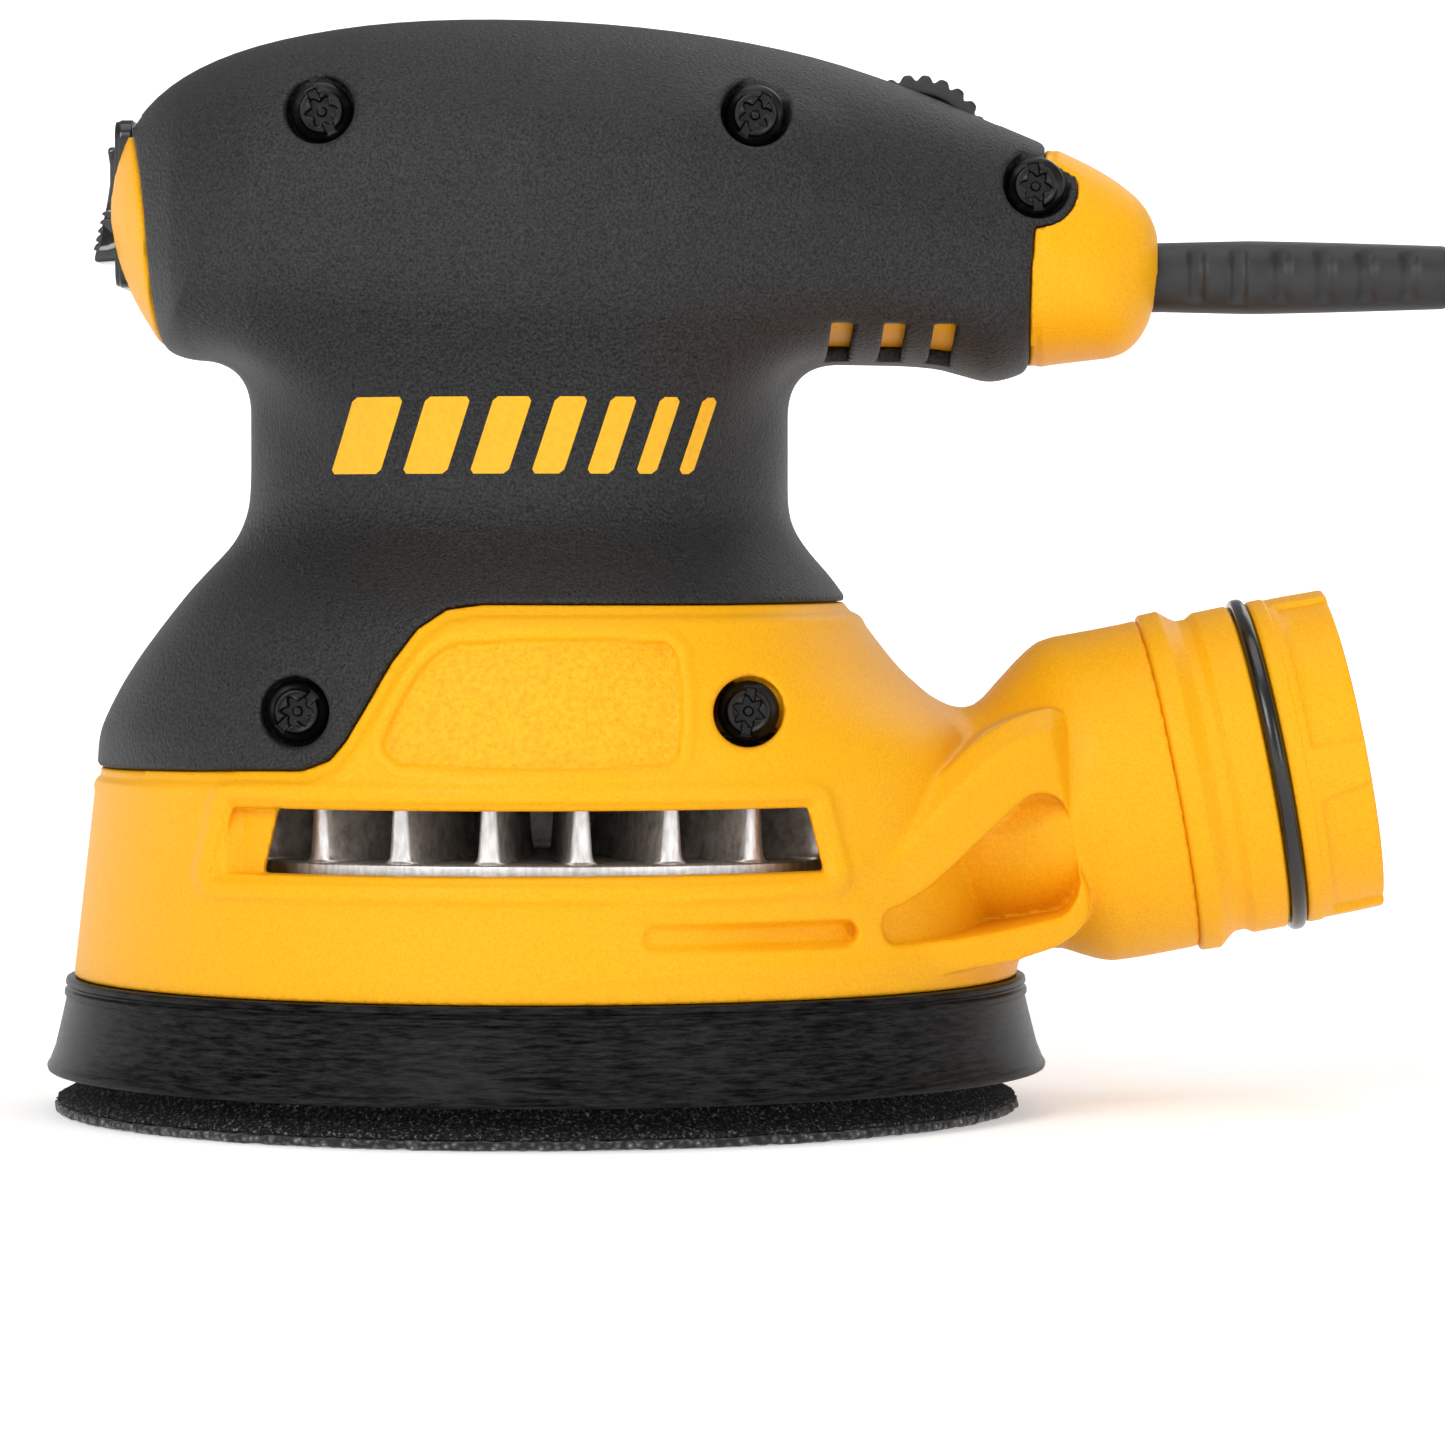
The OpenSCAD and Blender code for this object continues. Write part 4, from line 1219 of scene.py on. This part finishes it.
def dial_shape(radius, height, angle):
    """Cuts the finger notches into the dial's rim, deepest at the outside."""
    if radius < 7.9:
        return radius
    notch = 0.5 + 0.5 * math.cos(24 * angle)
    return radius - 0.75 * notch ** 2 * (radius - 7.9) / 1.6


def make_dial():
    hub = Matrix.Translation(Vector((DIAL_AT[0], 0, DIAL_AT[1])) * MM)
    half = [
        (1.25, -2.6, 0.15), (3.4, -2.6, 0.2), (3.6, -2.0, 0.25), (6.8, -2.0, 0.3), (7.1, -3.0, 0.3),
        (9.1, -3.0, 0.3), (9.5, -2.6, 0.3),
    ]
    revolved(
        "dial_wheel", half + [(r, -z, corner) for r, z, corner in reversed(half)], "dial_plastic",
        hub @ Matrix.Rotation(math.pi / 2, 4, "X"), dial_shape, around=576, step=0.2,
        body="dial", replaces=("speed_dial",),
    )


def boot_shape(radius, height, angle):
    """Flex grooves on the two flanks of the cord boot; its top and underside stay smooth."""
    if radius < 3.8 or not 82 < height < 113:
        return radius
    flank = float(smooth_step(0.55, 0.85, abs(math.sin(angle))))
    phase = (height - 83) % 5.5
    groove = float(smooth_step(0.0, 0.5, phase) * smooth_step(2.4, 1.9, phase))
    return radius - 0.55 * flank * groove


def make_boot():
    place = Matrix.Translation(Vector((0, 0, 107.8)) * MM) @ Matrix.Rotation(math.pi / 2, 4, "Y")
    outside = [(4.5, 80.0, 1), (4.75, 91, 4)]
    profile = [(3.52, 66.0, 0.2), (5.7, 66.0, 0.4), (5.7, 69.0, 0.4), (4.6, 69.2, 0.4), *outside]
    steps = [(4.75 - 0.65 * (i / 24) ** 1.3, 91 + 25.4 * i / 24, 0) for i in range(1, 25)]
    profile += steps + [(3.9, 116.9, 0.3), (3.52, 117.0, 0.2)]
    revolved(
        "cord_boot_sleeve", profile, "cord_rubber", place, boot_shape, around=144, step=0.12,
        replaces=("cord_boot",),
    )


def make_tie():
    """Fabric strap wrapped over the bundle of the coil."""
    low_r, high_r, top, half = 28.0, 56.0, 14.0, 8.0
    corners = [
        (high_r + 0.3, 0.3, 2.0), (high_r + 0.3, top + 0.3, 3.0), (low_r - 0.3, top + 0.3, 3.0),
        (low_r - 0.3, 0.3, 2.0),
    ]
    inner = rounded_path(corners, 0.35)
    middle = Vector(((low_r + high_r) / 2, top / 2))
    edge = [(half, 0.0), (half, 0.35), (half - 0.25, 0.85)]
    rings = []
    for u, lift in [(-u, lift) for u, lift in edge[1:]] + edge[::-1] + [(-half, 0.0)]:
        ring = []
        for k, p in enumerate(inner):
            away = (p - middle).normalized()
            ripple = 0.12 * math.sin(0.9 * k) * (lift > 0.5) + 0.15
            here = p + away * (lift + ripple if lift else 0)
            height = max(here.y, 0.25 if lift else 0.3)
            ring.append(Vector((COIL_AT[0] + u, COIL_AT[1] + here.x, height)) * MM)
        rings.append(ring)
    add_solid("tie_strap", *tube_grid(rings), "tie_fabric", replaces=("coil_tie",))


PLUG_AT = (256.0, -9.0, 6.5)


def make_plug():
    """Moulded plug: ribbed strain relief, a waisted grip with ridges and a flat face for the blades."""
    rings = []
    stations = [(0.0, 4.0, 4.0, 3.9), (0.3, 4.25, 4.25, 4.2)]
    for i in range(7):
        base = 1.2 + 1.9 * i
        for at, sink in ((0.0, 0.0), (0.25, 0.55), (0.85, 0.55), (1.1, 0.0)):
            wide = 4.25 + 1.3 * (base + at) / 15 - sink
            stations.append((base + at, wide, wide, wide * 0.98))
    stations += [
        (14.6, 5.7, 5.5, 5.3), (15.6, 8.6, 5.9, 5.0), (17.0, 10.9, 6.2, 4.6), (18.6, 11.9, 6.4, 4.5),
        (20.2, 12.0, 6.4, 4.5), (21.2, 11.7, 6.2, 4.4), (22.0, 12.0, 6.4, 4.5), (23.0, 11.7, 6.2, 4.4),
        (23.8, 12.05, 6.4, 4.5), (24.8, 11.75, 6.2, 4.4), (25.6, 12.2, 6.45, 4.5), (27.0, 12.45, 6.5, 4.5),
        (31.2, 12.45, 6.5, 4.5), (31.8, 12.3, 6.35, 4.4), (32.0, 11.9, 6.0, 4.1),
    ]
    for back, half_u, half_v, corner in stations:
        ring = rectangle_ring(half_u, half_v, min(corner, half_u * 0.99, half_v * 0.99), 10, 6)
        rings.append([Vector((PLUG_AT[0] + u, PLUG_AT[1] - back, PLUG_AT[2] + v)) * MM for u, v in ring])
    add_solid("plug_moulding", *stacked(rings), "cord_rubber", replaces=("plug_body",))


def blade_reach(c, s):
    """From the hole's centre to the blade's edge in the direction (c, s), less near the tip's corners."""
    end = 3.4 / c if c > 1e-6 else 11.6 / max(-c, 1e-6)
    reach = min(end, 3.15 / max(abs(s), 1e-6), 20.0)
    return reach * (0.95 if c > 0.5 and abs(s) > 0.3 else 1.0)


def make_blades():
    """Two flat blades with rounded tips and a hole, their flat sides facing each other."""
    turns = [2 * math.pi * k / 36 for k in range(36)]
    # Reach in each direction from the hole's centre, at each step through the blade's thickness.
    edges = ((-0.75, 0.35), (-0.5, 0.0), (0.5, 0.0), (0.75, 0.35))
    layers = [(x, [blade_reach(math.cos(a), math.sin(a)) - shrink for a in turns]) for x, shrink in edges]
    layers += [(x, [1.5] * 36) for x in (0.75, -0.75)]
    blades = []
    for side in (-6.35, 6.35):
        x0, y0, z0 = PLUG_AT[0] + side, -52.6, PLUG_AT[2]
        blades.append(tube_grid([
            [Vector((x0 + x, y0 - r * math.cos(a), z0 + r * math.sin(a))) * MM for r, a in zip(reach, turns)]
            for x, reach in layers
        ]))
    add_solid("plug_contacts", *joined(blades), "brass", smooth=False, replaces=("plug_blades",))


make_rocker()
make_bezel()
make_dial()
make_boot()
make_tie()
make_plug()
make_blades()
make_cord()


# ---------------------------------------------------------------- neck marking

def make_marking():
    """Plain slanted bars printed on both sides of the neck, laid on the grip's surface."""
    graph = bpy.context.evaluated_depsgraph_get()
    bars = [(-26.5, 6.4), (-17.2, 5.6), (-8.7, 4.8), (-1.0, 4.0), (5.9, 3.2), (12.0, 2.5), (17.3, 1.8)]
    low_z, high_z, lean = 82.0, 91.6, 3.2
    for side, grip in ((-1, "skin_left"), (1, "skin_right")):
        tree = BVHTree.FromObject(bpy.data.objects[grip], graph)
        points, faces = [], []
        for start, width in bars:
            base = len(points)
            columns, rows = max(2, int(width / 0.5)), 18
            rounding = 0.5
            for j in range(rows + 1):
                t = j / rows
                near_end = max(0.0, 1 - min(t, 1 - t) * rows / 1.2)
                inset = rounding * (1 - math.sqrt(1 - near_end ** 2))
                for i in range(columns + 1):
                    x = start + lean * t + inset + (width - 2 * inset) * i / columns
                    z = low_z + (high_z - low_z) * t
                    origin = Vector((x, side * 70, z)) * MM
                    hit, normal, _, _ = tree.ray_cast(origin, Vector((0, -side, 0)), 0.1)
                    points.append(hit + normal * 0.00006)
            for j in range(rows):
                for i in range(columns):
                    a = base + j * (columns + 1) + i
                    quad = (a, a + 1, a + columns + 2, a + columns + 1)
                    faces.append(quad if side < 0 else quad[::-1])
        name = "marking_left" if side < 0 else "marking_right"
        add_object(name, mesh_from(name, points, faces), "yellow_plastic", material=PRINT)


make_marking()


# ---------------------------------------------------------------- stage

def glowing_paper(name, color, near, far):
    """Matt white paper lit from behind, near the tool and far from it."""
    s = Shader(name, color, 0.8, specular=0.1)
    s.bsdf.inputs["Emission Color"].default_value = (1.0, 1.0, 1.0, 1.0)
    away = s.node("VectorMath", {0: s.place}, "Value", operation="LENGTH")
    s.drive("Emission Strength", s.spread(away, near, far, 0.12, 1.1))
    s.rough(s.noise(12.0), 0.7, 0.9)
    return s.material


def make_stage():
    """A white floor inside a low white wall that runs all the way round."""
    floor = mesh_from("floor", [(-4, -4, 0), (4, -4, 0), (4, 4, 0), (-4, 4, 0)], [(0, 1, 2, 3)], smooth=False)
    posts = [(3 * math.cos(math.pi * i / 48), 3 * math.sin(math.pi * i / 48)) for i in range(96)]
    corners = [(x, y, z) for x, y in posts for z in (-0.05, 0.7)]
    sides = [(2 * i, 2 * i + 1, (2 * i + 3) % 192, (2 * i + 2) % 192) for i in range(96)]
    wall = mesh_from("wall", corners, sides)
    for name, mesh, color, near, far in (
        ("floor", floor, (0.86, 0.86, 0.86), 0.36, 0.75),
        ("wall", wall, (0.6, 0.6, 0.6), 0.85, 0.85),
    ):
        sheet = bpy.data.objects.new(name, mesh)
        bpy.context.collection.objects.link(sheet)
        mesh.materials.append(glowing_paper(name, color, near, far))
    world = bpy.data.worlds.new("world")
    bpy.context.scene.world = world
    world.use_nodes = True
    background = world.node_tree.nodes["Background"]
    background.inputs[0].default_value = (1.0, 1.0, 1.0, 1.0)
    background.inputs[1].default_value = 0.32
    for name, place, size, power in (
        ("key", (-0.45, -0.95, 0.7), 0.5, 6.5),
        ("fill", (0.7, -1.0, 0.5), 0.5, 2.6),
        ("top", (0.05, -0.1, 1.2), 0.9, 4.5),
        ("rim", (0.5, 0.9, 0.8), 0.7, 2.5),
    ):
        data = bpy.data.lights.new(name, "AREA")
        data.size = size
        data.energy = power
        lamp = bpy.data.objects.new(name, data)
        bpy.context.collection.objects.link(lamp)
        lamp.location = place
        lamp.rotation_euler = (Vector((0.01, 0, 0.06)) - lamp.location).to_track_quat("-Z", "Y").to_euler()


make_stage()


# ---------------------------------------------------------------- CAD pieces that stay

def finish_cad_pieces():
    """Gives each CAD node that is shown its procedural material."""
    slots = {row["node"]: row["material_slot"] for row in frame["record"]["subparts"]}
    for node, piece in frame["nodes"].items():
        materials = piece.data.materials
        if not materials:
            materials.append(None)
        for i in range(len(materials)):
            materials[i] = MATERIALS[slots[node]]


finish_cad_pieces()
